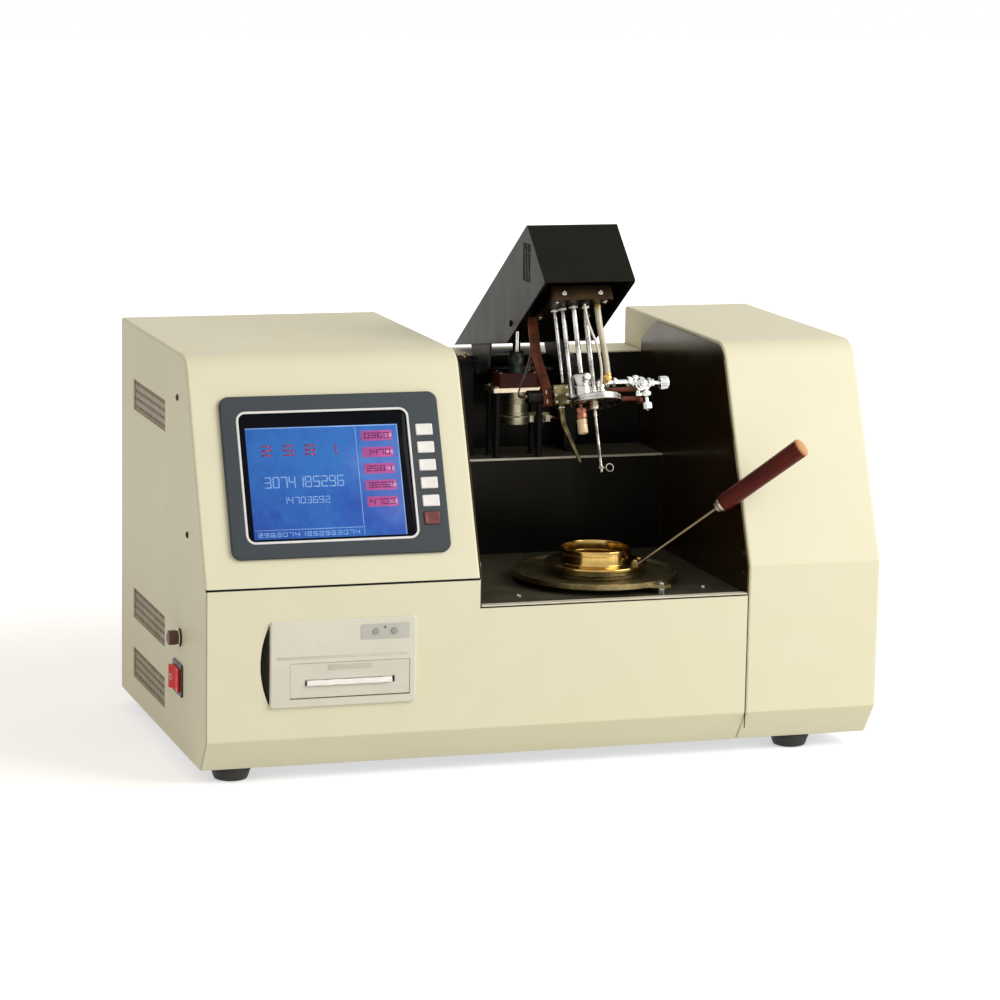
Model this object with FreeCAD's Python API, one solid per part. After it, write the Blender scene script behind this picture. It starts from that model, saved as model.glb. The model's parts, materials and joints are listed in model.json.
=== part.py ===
import FreeCAD, Part
import os
from math import asin, atan2, cos, degrees, hypot, radians, sin, tan

# Bench flash point tester with an open cup.
# x runs from the left side of the case to the right, y from its front to its back, and z up
# from the bench. The last function moves everything so that the origin is under the middle.

V = FreeCAD.Vector
RIGHT, BACK, UP = V(1, 0, 0), V(0, 1, 0), V(0, 0, 1)

# Case
case_width = 660.0
case_depth = 366.0
roof_height = 388.0
left_width = 260.0
bay_width = 266.0
roof_setback = 85.0
crease_height = 187.0
chamfer_height = 45.0
chamfer_inset = 23.0
foot_height = 14.0
roof_bend = 25.0
fold_bend = 3.0
side_bend = 2.6
sheet = 1.5
seam = 1.0
gap = 0.3
play = 0.05
overrun = 5.0
bend_share = 0.45

bay_left = left_width
bay_right = left_width + bay_width
underside = foot_height
slope_run = roof_setback
slope_rise = roof_height - crease_height
slope_length = hypot(slope_run, slope_rise)
slope_lean = degrees(atan2(slope_run, slope_rise))

# Bay between the two cabinets
deck_height = 160.0
step_rise = 95.0
step_depth = 72.5
back_wall_inset = 53.5
back_wall_rise = 95.0
liner_corner_depth = 42.5
liner_corner_drop = 26.0
inner_wall_drop = 10.0
lip_depth = 8.0
lip_thickness = 1.2

shelf_height = deck_height + step_rise
back_wall = case_depth - back_wall_inset
back_wall_height = shelf_height + back_wall_rise
shelf_front = back_wall - step_depth

# Cup and heater
cup_inset = 145.0
cup_y = 97.0
cup_rise = 33.0
cup_bore = 31.75
cup_wall = 2.4
cup_depth = 33.5
cup_floor = 2.8
cup_flange = 49.0
cup_flange_drop = 14.0
cup_flange_thickness = 3.0
rim_rounding = 0.8

cup_x = bay_left + cup_inset
cup_rim_height = deck_height + cup_rise
cup_outer = cup_bore + cup_wall
flange_top = cup_rim_height - cup_flange_drop
flange_bottom = flange_top - cup_flange_thickness
cup_bottom = cup_rim_height - cup_depth - cup_floor

plate_radius = 80.0
plate_thickness = 3.0
plate_clearance = 6.0
plate_lip_width = 3.5
plate_lip_height = 2.0
plate_hub_wall = 9.0
tab_bearing = -61.0
tab_reach = 13.0
tab_width = 17.0
heater_radius = 56.0
heater_flange = 70.0
heater_flange_thickness = 3.5
heater_depth = 46.0
heater_hole_room = 3.0

plate_bottom = deck_height + plate_clearance
plate_top = plate_bottom + plate_thickness
well_radius = cup_outer + gap

# Cup handle
handle_bearing = -36.0
handle_rise = 38.4
handle_start = 46.0
lug_length = 7.0
lug_width = 22.0
lug_thickness = 4.0
lug_corner = 1.7
wire_radius = 1.3
wire_spread = 8.0
wire_join = 2.4
wire_length = 92.0
ferrule_length = 8.0
ferrule_small = 4.6
ferrule_large = 7.2
ferrule_sink = 5.0
grip_length = 98.0
grip_large = 9.5
grip_small = 8.2
grip_nose = 1.6
grip_tail = 3.2
grip_tail_drop = 1.1
grip_tail_edge = 0.8
grip_waist = 0.8
grip_swell_share = 0.7
grip_steps = 6

# Test arm: hinge, swing and box
hinge_inset = 20.5
hinge_rise = 83.0
arm_swing = 23.0
box_slope = 32.4
box_inset = 80.0
box_width = 90.0
box_front_top = 225.4
box_front_bottom = 248.0
box_above = 48.3
box_below = 23.5
box_tail = 47.0
box_heel = 114.4
box_bend = 2.5
box_sheet = 1.5
side_slot_height = 36.0
side_slot_width = 24.0
side_slot_from_front = 17.0
side_slot_from_top = 31.3
stud_from_hinge = 134.0

hinge_y = back_wall - hinge_inset
hinge_z = shelf_height + hinge_rise
box_left = bay_left + box_inset
box_right = box_left + box_width
box_middle = (box_left + box_right) / 2

# Arm shaft and bearings
shaft_radius = 6.0
bearing_width = 12.0
bearing_depth = 25.0
bearing_room = 3.0
shaft_end = 3.0
collar_radius = 9.0

# Arm frame inside the box
frame_sheet = 2.0
frame_room = 4.0
frame_front = 214.0
frame_tail = 10.0
frame_top_room = 2.5
cheek_front = 62.0
cheek_drop = 12.0
pad_height = 20.0
pad_thickness = 3.0
pad_back = 18.0

# Arm lift
lift_inset = 33.0
lift_ahead = 37.0
lift_post_length = 66.0
lift_plate_thickness = 4.5
lift_plate_width = 56.0
lift_plate_depth = 36.0
lift_post_radius = 2.6
lift_post_inset = 6.0
gearbox_width = 42.0
gearbox_depth = 30.0
gearbox_height = 14.0
guide_radius = 8.0
guide_height = 21.0
guide_step_share = 0.7
guide_slant_share = 0.75
guide_top_share = 0.85
rod_radius = 4.0
lift_travel = 23.5
motor_radius = 12.0
motor_height = 24.0
motor_foot_radius = 14.5
motor_foot_height = 8.0
motor_tab_length = 23.0
motor_tab_width = 10.0
motor_floor = 0.8

lift_x = box_left + lift_inset
lift_y = hinge_y - lift_ahead
lift_plate_height = shelf_height + lift_post_length

# Head under the lowered arm. Its places are measured from the middle of the hinge line:
# x to the right, y to the back and z up.
bracket_rise = 6.0
bracket_thickness = 14.0
bracket_left = -33.0
bracket_right = 29.0
bracket_front = -228.0
bracket_back = -161.0
hanger_thickness = 3.0
hanger_width = 46.0
main_rod_x = 6.0
main_rod_length = 89.8
main_rod_radius = 2.7
disc_x = 7.0
disc_y = -207.3
disc_radius = 24.5
disc_thickness = 7.0
disc_edge = 0.8
side_rod_x = -14.7
side_rod_y = -203.0
side_rod_radius = 2.1
clamp_x = -6.0
clamp_y = -210.0
clamp_radius = 8.5
clamp_height = 22.0
clamp_groove = 0.8
clamp_groove_rise = 8.8
clamp_groove_slant = 1.1
clamp_groove_band = 1.1
clamp_bevel = 2.2
clamp_rod_radius = 2.4
thin_rod_x = -21.0
thin_rod_y = -198.0
thin_rod_radius = 1.7
thin_rod_length = 73.0
probe_x = 5.0
probe_y = -206.5
probe_length = 65.7
probe_radius = 1.6
probe_tip_radius = 1.0
probe_collar_radius = 3.4
probe_collar_height = 5.0
ring_radius = 3.6
ring_wire = 0.7
ring_stalk_radius = 0.45
ring_clip_wall = 1.4
ring_clip_height = 2.1
ring_rise = 4.5
ring_offset = 3.2
sensor_x = -8.0
sensor_y = -204.0
sensor_cap_radius = 6.0
sensor_cap_height = 11.0
sensor_foot_radius = 4.8
sensor_foot_height = 13.0
sensor_neck_radius = 2.2
sensor_neck_height = 3.0

disc_top = bracket_rise - main_rod_length
disc_bottom = disc_top - disc_thickness
probe_tip = disc_bottom - probe_length

# Gas supply on the head
fitting_x = 13.5
fitting_y = -206.0
fitting_radius = 4.4
fitting_height = 12.0
fitting_nut_height = 7.2
fitting_slant = 1.2
fitting_neck_radius = 3.3
gas_pipe_radius = 2.3
gas_pipe_end = 45.0
hose_x = 22.0
hose_stub_height = 5.0
hose_radius = 3.0
hose_bore = 1.7
hose_lean_x = 4.0
hose_lean_y = 3.0
hose_low_share = 0.27
hose_high_share = 0.75
valve_width = 22.0
valve_depth = 15.0
valve_height = 20.0
valve_stem_radius = 2.0
valve_stem_length = 5.0
main_knob_radius = 6.4
main_knob_length = 9.0
pilot_knob_radius = 4.6
pilot_knob_length = 7.0
knob_edge = 0.9
knob_flutes = 12
knob_grip_share = 0.6
knob_face_share = 0.75
valve_nose_radius = 4.0
valve_nose_length = 11.0
valve_nose_inset = 7.3
pilot_knob_inset = 13.2

gas_pipe_height = disc_top + fitting_height + gas_pipe_radius
valve_top = gas_pipe_height + gas_pipe_radius * 2

# Flame sweep on the head
rail_y = -168.0
rail_drop = 82.5
rail_pitch = 9.0
rail_radius = 2.3
rail_left = -33.0
rail_spare = 8.0
rail_end_thickness = 3.0
rail_end_width = 10.0
sweep_bar_width = 9.5
sweep_bar_thickness = 3.0
sweep_bar_straight = 38.0
sweep_bar_left = -39.0
carriage_x = -15.0
carriage_width = 15.0
carriage_depth = 13.0
carriage_overlap = 5.0
flame_travel = 63.0
flame_knee_drop = 24.5
flame_knee_forward = 2.0
flame_tip_x = -10.5
flame_tip_y = -194.0
flame_tip_room = 2.0
flame_top_radius = 3.6
flame_knee_radius = 2.9
flame_tip_radius = 1.4
flame_bore = 0.6
sweep_motor_radius = 6.5
sweep_motor_length = 15.0

rail_low = bracket_rise - rail_drop

# Screen and keys on the slope, measured from the crease up the slope
bezel_left = 27.0
bezel_right_room = 26.0
bezel_bottom = 26.0
bezel_height = 152.5
bezel_thickness = 4.0
bezel_corner = 9.0
bezel_edge = 1.0
bezel_skirt_inset = 4.8
bezel_skirt_wall = 2.0
bezel_skirt_depth = 6.0
window_left = 16.0
window_right = 31.0
window_bottom = 15.5
window_top = 16.5
window_corner = 8.0
screen_border = 4.0
board_thickness = 2.0
key_inset = 23.6
key_width = 16.2
key_height = 10.8
key_corner = 1.0
key_edge = 0.5
key_low = 43.0
key_pitch = 16.9
key_count = 5
stop_key_bottom = 26.0
stop_key_width = 15.0
stop_key_height = 12.0
key_proud = 1.4
key_travel = 1.0
key_room = 0.2

bezel_width = left_width - bezel_left - bezel_right_room
window_width = bezel_width - window_left - window_right
window_height = bezel_height - window_bottom - window_top
key_left = bezel_width - key_inset

# Panel printer
printer_left = 60.0
printer_width = 138.0
printer_bottom = 74.5
printer_height = 81.0
printer_corner = 3.0
printer_edge = 1.0
printer_proud = 3.0
printer_inset = 4.0
printer_body_depth = 62.0
printer_wall = 2.0
notch_depth = 8.5
notch_height = 76.0
door_left = 19.0
door_width = 113.0
door_bottom = 9.0
door_height = 32.0
door_thickness = 2.8
door_sink = 0.4
door_foot_room = 1.1
door_hinge_rise = 1.3
door_pin_radius = 0.9
door_pin_length = 2.5
paper_slot_width = 85.0
paper_slot_height = 6.0
paper_slot_rise = 11.0
ear_thickness = 3.0
ear_reach = 9.0
ear_height = 10.0
roller_radius = 3.6
roller_rise = 24.0
roller_pin_radius = 1.5
paper_radius = 16.0
paper_core = 5.0
paper_width = 80.0
paper_y = 38.0

# Vents in the left side
vent_front = 168.0
vent_length = 142.0
vent_height = 30.0
vent_bottoms = (39.0, 98.5, 305.5)
vent_frame = 3.0
vent_mesh = 0.8
vent_hole_radius = 1.9
vent_columns = 20
vent_rows = 4
vent_stagger_share = 0.3

# Mains switch and fuse in the left side
switch_y = 108.0
switch_z = 82.5
switch_length = 38.0
switch_height = 31.0
switch_flange = 2.0
switch_rim = 2.8
switch_body_depth = 22.0
switch_body_wall = 1.5
rocker_half_length = 13.4
rocker_crown = 6.0
rocker_waist = 3.4
rocker_depth = 6.0
rocker_foot_share = 0.9
rocker_pivot_depth = 2.0
rocker_tilt = 7.0
fuse_y = 102.0
fuse_z = 122.5
fuse_flange_radius = 8.5
fuse_flange_thickness = 2.0
fuse_body_radius = 6.0
fuse_body_length = 26.0
fuse_cap_radius = 7.0
fuse_cap_length = 10.0
fuse_stem_radius = 3.6
fuse_stem_length = 8.0
fuse_wing_width = 2.4
fuse_wing_height = 2.0

# Back of the case
inlet_x = 80.0
inlet_z = 72.0
inlet_width = 50.0
inlet_height = 28.0
inlet_flange = 3.0
inlet_depth = 24.0
inlet_mouth_width = 27.0
inlet_mouth_height = 19.5
inlet_wall = 1.5
inlet_mouth_depth = 18.0
inlet_pin_width = 2.0
inlet_pin_height = 4.0
inlet_pin_length = 11.0
inlet_pin_pitch = 7.0
inlet_pin_rise = 2.0
gas_inlet_inset = 60.0
gas_inlet_z = 96.0
gas_nut_radius = 8.0
gas_nut_length = 6.0
gas_spigot_radius = 4.0
gas_spigot_length = 16.0
gas_spigot_bore = 1.8
gas_tail_radius = 5.0
gas_tail_length = 12.0

gas_inlet_x = case_width - gas_inlet_inset

# Inside the case
tray_thickness = 2.0
tray_flange = 12.0
supply_x = 24.0
supply_width = 92.0
supply_back_room = 44.0
supply_depth = 100.0
supply_height = 76.0
supply_cap_height = 10.0
supply_cap_inset = 12.0
board_x = 132.0
board_width = 112.0
board_back_room = 20.0
board_depth = 150.0
board_sheet = 1.6
board_leg_radius = 3.0
board_leg_height = 9.0
board_leg_inset = 7.0
board_part_height = 11.0
board_part_length = 26.0
board_part_width = 16.0
board_part_rows = 3
board_part_columns = 2

supply_y = case_depth - supply_back_room - supply_depth
board_y = case_depth - board_back_room - board_depth

# Feet and screws
foot_radius = 19.0
foot_bottom_radius = 16.0
foot_rounding = 2.5
foot_band = 4.0
foot_left_x = 35.0
foot_right_inset = 70.0
foot_front_y = 45.0
foot_back_inset = 44.0
screw_head_radius = 3.2
screw_head_height = 1.9
screw_band_share = 0.35
screw_crown_share = 0.7
screw_shoulder_share = 0.85
screw_shank_radius = 1.6
screw_shank_length = 4.0
side_screw_upper_y = 115.0
side_screw_upper_z = 346.0
side_screw_lower_y = 72.0
side_screw_lower_z = 225.0
wall_screw_y = 12.0
wall_screw_low = 178.0
wall_screw_high = 197.0
deck_screw_left = 50.0
deck_screw_right = 31.0
deck_screw_y = 40.0
spacer_radius = 4.0


def block(x0, x1, y0, y1, z0, z1):
    return Part.makeBox(x1 - x0, y1 - y0, z1 - z0, V(x0, y0, z0))


def rod(start, end, radius):
    return Part.makeCylinder(radius, (end - start).Length, start, end - start)


def fused(*shapes):
    whole = shapes[0]
    for shape in shapes[1:]:
        whole = whole.fuse(shape)
    return whole.removeSplitter()


def turned(profile, foot, axis):
    """Solid turned from (radius, height) points about an axis that starts at foot."""
    points = [V(r, 0, h) for r, h in profile]
    face = Part.Face(Part.makePolygon(points + points[:1]))
    solid = face.revolve(V(0, 0, 0), UP, 360)
    solid.Placement = FreeCAD.Placement(foot, FreeCAD.Rotation(UP, axis))
    return Part.Solid(solid) if solid.ShapeType != "Solid" else solid


def rounded_wire(points, radii, lift):
    """Closed outline through flat points, each corner rounded by its own radius."""
    count = len(points)
    corners = []
    for index, (point, radius) in enumerate(zip(points, radii)):
        corner = V(point[0], point[1], 0)
        back = V(*points[index - 1], 0) - corner
        ahead = V(*points[(index + 1) % count], 0) - corner
        back.normalize()
        ahead.normalize()
        half = back.getAngle(ahead) / 2
        reach = radius / tan(half)
        inward = back + ahead
        inward.normalize()
        middle = corner + inward * (radius / sin(half) - radius)
        corners.append((corner + back * reach, middle, corner + ahead * reach, radius))
    edges = []
    for index, (start, middle, end, radius) in enumerate(corners):
        if radius:
            edges.append(Part.Arc(lift(start), lift(middle), lift(end)).toShape())
        following = corners[(index + 1) % count][0]
        edges.append(Part.LineSegment(lift(end), lift(following)).toShape())
    return Part.Wire(edges)


def side_prism(points, radii, x0, x1):
    """Prism along x from an outline of (y, z) points."""
    wire = rounded_wire(points, radii, lambda p: V(x0, p.x, p.y))
    return Part.Face(wire).extrude(V(x1 - x0, 0, 0))


def flat_prism(points, radii, z0, z1):
    """Prism along z from an outline of (x, y) points."""
    wire = rounded_wire(points, radii, lambda p: V(p.x, p.y, z0))
    return Part.Face(wire).extrude(V(0, 0, z1 - z0))


def rounded_plate(x0, x1, y0, y1, z0, z1, corner):
    points = [(x0, y0), (x1, y0), (x1, y1), (x0, y1)]
    return flat_prism(points, [corner] * 4, z0, z1)


def inset(points, distance):
    """Outline whose sides all lie inward by one distance; points run clockwise."""
    moved = []
    count = len(points)
    for index in range(count):
        here = V(*points[index], 0)
        back = here - V(*points[index - 1], 0)
        ahead = V(*points[(index + 1) % count], 0) - here
        back.normalize()
        ahead.normalize()
        inward_back = V(back.y, -back.x, 0)
        inward_ahead = V(ahead.y, -ahead.x, 0)
        bisector = inward_back + inward_ahead
        shift = bisector * (distance / (1 + inward_back.dot(inward_ahead)))
        moved.append((here.x + shift.x, here.y + shift.y))
    return moved


def tube_path(points):
    """Straight runs through the points, joined by tangent arcs as large as they allow."""
    edges = []
    here = points[0]
    for before, corner, after in zip(points, points[1:], points[2:]):
        back, ahead = before - corner, after - corner
        reach = bend_share * min(back.Length, ahead.Length)
        back.normalize()
        ahead.normalize()
        half = back.getAngle(ahead) / 2
        radius = reach * tan(half)
        inward = back + ahead
        inward.normalize()
        start, end = corner + back * reach, corner + ahead * reach
        middle = corner + inward * (radius / sin(half) - radius)
        edges.append(Part.LineSegment(here, start).toShape())
        edges.append(Part.Arc(start, middle, end).toShape())
        here = end
    edges.append(Part.LineSegment(here, points[-1]).toShape())
    return Part.Wire(edges)


def swept(path, radius, points):
    ring = Part.Wire(Part.makeCircle(radius, points[0], points[1] - points[0]))
    return path.makePipeShell([ring], True, True)


def on_slope(shape):
    """Place a shape drawn flat, y up the slope and z out of it, on the sloping front."""
    lean = FreeCAD.Placement(V(0, 0, crease_height), FreeCAD.Rotation(RIGHT, 90 - slope_lean))
    shape.Placement = lean.multiply(shape.Placement)
    return shape


def raised(shape):
    """Turn a piece of the level arm box up to the slope at which the arm rests."""
    lifted = shape.copy()
    lifted.rotate(V(0, hinge_y, hinge_z), RIGHT, -box_slope)
    return lifted


def hung(shape):
    """Put a piece of the head, given about the hinge with the arm lowered, where it rests."""
    lifted = shape.copy()
    lifted.rotate(V(0, 0, 0), RIGHT, -arm_swing)
    lifted.translate(V(box_middle, hinge_y, hinge_z))
    return lifted


def screw(place, direction):
    """Domed screw whose head stands on the surface at place."""
    head = [(0, 0), (screw_head_radius, 0),
            (screw_head_radius, screw_head_height * screw_band_share),
            (screw_head_radius * screw_crown_share, screw_head_height * screw_shoulder_share),
            (0, screw_head_height)]
    shank = rod(place - direction * screw_shank_length, place, screw_shank_radius)
    return fused(turned(head, place, direction), shank)


def screw_holes(places, direction):
    length = sheet * 2 + gap
    return [rod(place - direction * length, place + direction * overrun,
                screw_shank_radius + play) for place in places]


def side_screw_places(x):
    return [V(x, side_screw_upper_y, side_screw_upper_z),
            V(x, side_screw_lower_y, side_screw_lower_z)]


def wall_screw_places(x):
    return [V(x, wall_screw_y, wall_screw_low), V(x, wall_screw_y, wall_screw_high)]


def deck_screw_places():
    return [V(bay_left + deck_screw_left, deck_screw_y, deck_height),
            V(bay_right - deck_screw_right, deck_screw_y, deck_height)]


def tab_hole_place(z):
    reach = plate_radius + tab_reach - tab_width / 2
    bearing = radians(tab_bearing)
    return V(cup_x + reach * cos(bearing), cup_y + reach * sin(bearing), z)


# Outlines of the case
def case_outline():
    points = [(chamfer_inset, underside), (0, chamfer_height), (0, crease_height),
              (roof_setback, roof_height), (case_depth, roof_height), (case_depth, underside)]
    return points, [fold_bend, fold_bend, fold_bend, roof_bend, 0, 0]


def hollow_outline():
    """Inside of the case, running out past its back and its bottom."""
    drop = overrun / (chamfer_height - underside)
    low = underside - overrun
    points = [(chamfer_inset * (1 + drop), low), (0, chamfer_height), (0, crease_height),
              (roof_setback, roof_height), (case_depth + overrun, roof_height),
              (case_depth + overrun, low)]
    radii = [0, fold_bend - sheet, fold_bend - sheet, roof_bend - sheet, 0, 0]
    return inset(points, sheet), radii


def cabinet_shell(x0, x1):
    points, radii = case_outline()
    outer = side_prism(points, radii, x0, x1)
    rims = []
    for edge in outer.Edges:
        box = edge.BoundBox
        middle = V((box.XMin + box.XMax) / 2, (box.YMin + box.YMax) / 2, (box.ZMin + box.ZMax) / 2)
        on_side = box.XLength < gap
        on_back = box.YMin > case_depth - gap
        on_bottom = box.ZMax < underside + gap
        if on_side and not on_back and not on_bottom and middle.z > underside:
            rims.append(edge)
    outer = outer.makeFillet(side_bend, rims)
    points, radii = hollow_outline()
    return outer.cut(side_prism(points, radii, x0 + sheet, x1 - sheet))


def left_cover():
    shell = cabinet_shell(0, left_width)
    wall = left_width - sheet
    low = block(wall - gap, left_width + overrun, -overrun, case_depth + overrun, -overrun,
                deck_height - inner_wall_drop)
    rear = block(wall - gap, left_width + overrun, case_depth - sheet - gap,
                 case_depth + overrun, -overrun, roof_height - sheet)
    front = block(sheet, left_width + overrun, -overrun, chamfer_inset + overrun * 2, -overrun,
                  crease_height - seam)
    shell = shell.cut([low, rear, front])
    cuts = [block(-overrun, sheet + overrun, vent_front, vent_front + vent_length, low_edge,
                  low_edge + vent_height) for low_edge in vent_bottoms]
    cuts.append(switch_opening())
    cuts.append(rod(V(-overrun, fuse_y, fuse_z), V(sheet + overrun, fuse_y, fuse_z),
                    fuse_body_radius + gap))
    cuts.append(on_slope(block(*bezel_skirt(-gap), -sheet - overrun, overrun)))
    cuts += screw_holes(side_screw_places(0), V(-1, 0, 0))
    cuts += screw_holes(wall_screw_places(left_width + sheet), RIGHT)
    return shell.cut(cuts)


def right_cover():
    shell = cabinet_shell(bay_right, case_width)
    wall = bay_right + sheet
    low = block(bay_right - overrun, wall + gap, chamfer_inset + sheet, case_depth + overrun,
                -overrun, deck_height - inner_wall_drop)
    rear = block(bay_right - overrun, wall + gap, case_depth - sheet - gap,
                 case_depth + overrun, -overrun, roof_height - sheet)
    shell = shell.cut([low, rear])
    cuts = screw_holes(side_screw_places(case_width), RIGHT)
    cuts += screw_holes(wall_screw_places(bay_right - sheet), V(-1, 0, 0))
    return shell.cut(cuts)


def front_panel():
    """Lower front, from the left side to the right cabinet, with its chamfered foot."""
    top = crease_height - seam
    outer = [(chamfer_inset, underside), (0, chamfer_height), (0, top)]
    inner = inset([(chamfer_inset, underside), (0, chamfer_height), (0, top),
                   (case_depth, top), (case_depth, underside)], sheet)
    points = outer + [(sheet, top), inner[1], (inner[0][0], underside)]
    panel = side_prism(points, [0, fold_bend, 0, 0, fold_bend - sheet, 0], sheet + gap,
                       bay_right - seam)
    bay_top = block(bay_left, bay_right + overrun, -overrun, sheet + overrun,
                    deck_height - sheet, crease_height + overrun)
    return panel.cut([bay_top, printer_opening()])


def printer_opening():
    """Hole for the printer, with a bowed finger notch at its left."""
    x0 = printer_left + printer_inset - gap
    x1 = printer_left + printer_width - printer_inset + gap
    z0 = printer_bottom + printer_inset - gap
    z1 = printer_bottom + printer_height - printer_inset + gap
    hole = block(x0, x1, -overrun, sheet + overrun, z0, z1)
    middle = (z0 + z1) / 2
    bow = (notch_height ** 2 / 4 + notch_depth ** 2) / (2 * notch_depth)
    centre_x = printer_left - notch_depth + bow
    notch = rod(V(centre_x, -overrun, middle), V(centre_x, sheet + overrun, middle), bow)
    keep = block(printer_left - notch_depth - gap, x0 + gap, -overrun, sheet + overrun, z0, z1)
    return hole.fuse(notch.common(keep))


def rear_panel():
    z_top = roof_height - sheet - gap
    y0, y1 = case_depth - sheet, case_depth
    left = block(sheet + gap, left_width, y0, y1, underside, z_top)
    middle = block(left_width - sheet, bay_right + sheet, y0, y1, underside, back_wall_height)
    right = block(bay_right, case_width - sheet - gap, y0, y1, underside, z_top)
    flange = block(bay_left + sheet + gap, bay_right - sheet - gap, back_wall, y1,
                   back_wall_height - sheet, back_wall_height)
    panel = fused(left, middle, right, flange)
    inlet = block(inlet_x - inlet_body_width() / 2 - gap, inlet_x + inlet_body_width() / 2 + gap,
                  y0 - overrun, y1 + overrun, inlet_z - inlet_body_height() / 2 - gap,
                  inlet_z + inlet_body_height() / 2 + gap)
    gas = rod(V(gas_inlet_x, y0 - overrun, gas_inlet_z), V(gas_inlet_x, y1 + overrun, gas_inlet_z),
              gas_tail_radius + gap)
    return panel.cut([inlet, gas])


def base_tray():
    front = chamfer_inset + sheet * 2
    back = case_depth - sheet - gap
    floor = block(sheet + gap, case_width - sheet - gap, front, back, underside,
                  underside + tray_thickness)
    lip = block(sheet + gap, case_width - sheet - gap, back - tray_thickness, back, underside,
                underside + tray_flange)
    return fused(floor, lip)


def bay_tub():
    """Deck, step, shelf and back wall, folded from one sheet."""
    y0 = sheet + gap
    deck, shelf = deck_height, shelf_height
    top = back_wall_height - sheet
    points = [(y0, deck - sheet), (y0, deck), (shelf_front, deck), (shelf_front, shelf),
              (back_wall, shelf), (back_wall, top), (back_wall + sheet, top),
              (back_wall + sheet, shelf - sheet), (shelf_front + sheet, shelf - sheet),
              (shelf_front + sheet, deck - sheet)]
    tub = side_prism(points, [0] * len(points), bay_left + sheet + gap, bay_right - sheet - gap)
    cuts = [rod(V(cup_x, cup_y, deck - overrun), V(cup_x, cup_y, deck + overrun),
                heater_radius + heater_hole_room)]
    cuts += screw_holes(deck_screw_places(), UP)
    cuts += screw_holes([tab_hole_place(deck)], UP)
    return tub.cut(cuts)


def bay_side_panels():
    """Liner on each side of the bay, cut back below the slope and at its upper rear."""
    edge = sheet
    lean = edge * slope_length / slope_rise
    points = [(edge, deck_height - sheet), (edge, crease_height),
              (edge + roof_setback - lean, roof_height - edge * 2),
              (back_wall - liner_corner_depth, roof_height - edge * 2),
              (back_wall - gap, roof_height - liner_corner_drop),
              (back_wall - gap, shelf_height), (shelf_front - gap, shelf_height),
              (shelf_front - gap, deck_height - sheet)]
    panels = []
    for x0 in (bay_left, bay_right - sheet):
        panels.append(side_prism(points, [0, 0, roof_bend, 0, 0, 0, 0, 0], x0, x0 + sheet))
    left, right = panels
    left = left.cut(screw_holes(wall_screw_places(bay_left + sheet), RIGHT))
    right = right.cut(screw_holes(wall_screw_places(bay_right - sheet), V(-1, 0, 0)))
    return Part.makeCompound([left, right])


def deck_lip():
    x0, x1 = bay_left + sheet + gap, bay_right - sheet - gap
    top = block(x0, x1, 0, lip_depth, deck_height, deck_height + lip_thickness)
    return top


# Heater and cup
def test_plate():
    """Hot plate with a hub that carries the cup's flange, an edge lip and a screw tab."""
    r0, r1 = well_radius, well_radius + plate_hub_wall
    lip = plate_radius - plate_lip_width
    profile = [(r0, plate_bottom), (plate_radius, plate_bottom),
               (plate_radius, plate_top + plate_lip_height), (lip, plate_top + plate_lip_height),
               (lip - plate_lip_height, plate_top), (r1 + plate_thickness, plate_top),
               (r1, plate_top + plate_thickness), (r1, flange_bottom), (r0, flange_bottom)]
    disc = turned(profile, V(cup_x, cup_y, 0), UP)
    start = plate_radius - plate_lip_width * 2
    end = plate_radius + tab_reach
    half = tab_width / 2
    points = [(start, -tab_width), (end - half, -half), (end, -half / 2), (end, half / 2),
              (end - half, half), (start, tab_width)]
    tab = flat_prism(points, [0, half, 0, 0, half, 0], plate_bottom, plate_top)
    tab.Placement = FreeCAD.Placement(V(cup_x, cup_y, 0), FreeCAD.Rotation(UP, tab_bearing))
    hole = rod(tab_hole_place(plate_bottom - overrun), tab_hole_place(plate_top + overrun),
               screw_shank_radius + play)
    return fused(disc, tab).cut(hole)


def heater_block():
    bottom = deck_height - sheet - heater_depth
    seat = deck_height - sheet
    floor = cup_bottom - gap
    profile = [(0, bottom), (heater_radius, bottom), (heater_radius, seat - heater_flange_thickness),
               (heater_flange, seat - heater_flange_thickness), (heater_flange, seat),
               (heater_radius, seat), (heater_radius, plate_bottom), (well_radius, plate_bottom),
               (well_radius, floor), (0, floor)]
    return turned(profile, V(cup_x, cup_y, 0), UP)


def cup():
    """Open cup: a turned bowl with a broad flange below its rim."""
    rim, bevel = cup_rim_height, rim_rounding
    profile = [(0, cup_bottom), (cup_outer - cup_wall, cup_bottom),
               (cup_outer, cup_bottom + cup_wall), (cup_outer, flange_bottom),
               (cup_flange - bevel, flange_bottom), (cup_flange, flange_bottom + bevel),
               (cup_flange, flange_top - bevel), (cup_flange - bevel, flange_top),
               (cup_outer, flange_top), (cup_outer, rim - bevel), (cup_outer - bevel, rim),
               (cup_bore + bevel, rim), (cup_bore, rim - bevel),
               (cup_bore, cup_bottom + cup_floor + cup_wall),
               (cup_bore - cup_wall, cup_bottom + cup_floor), (0, cup_bottom + cup_floor)]
    return turned(profile, V(cup_x, cup_y, 0), UP)


def handle_axis():
    bearing, rise = radians(handle_bearing), radians(handle_rise)
    return V(cos(bearing) * cos(rise), sin(bearing) * cos(rise), sin(rise))


def handle_point(distance, sideways=0):
    """Point along the handle, from where its wires leave the lug."""
    bearing = radians(handle_bearing)
    start = V(cup_x + handle_start * cos(bearing), cup_y + handle_start * sin(bearing),
              flange_top + lug_thickness / 2)
    side = V(-sin(bearing), cos(bearing), 0)
    return start + handle_axis() * distance + side * sideways


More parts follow.
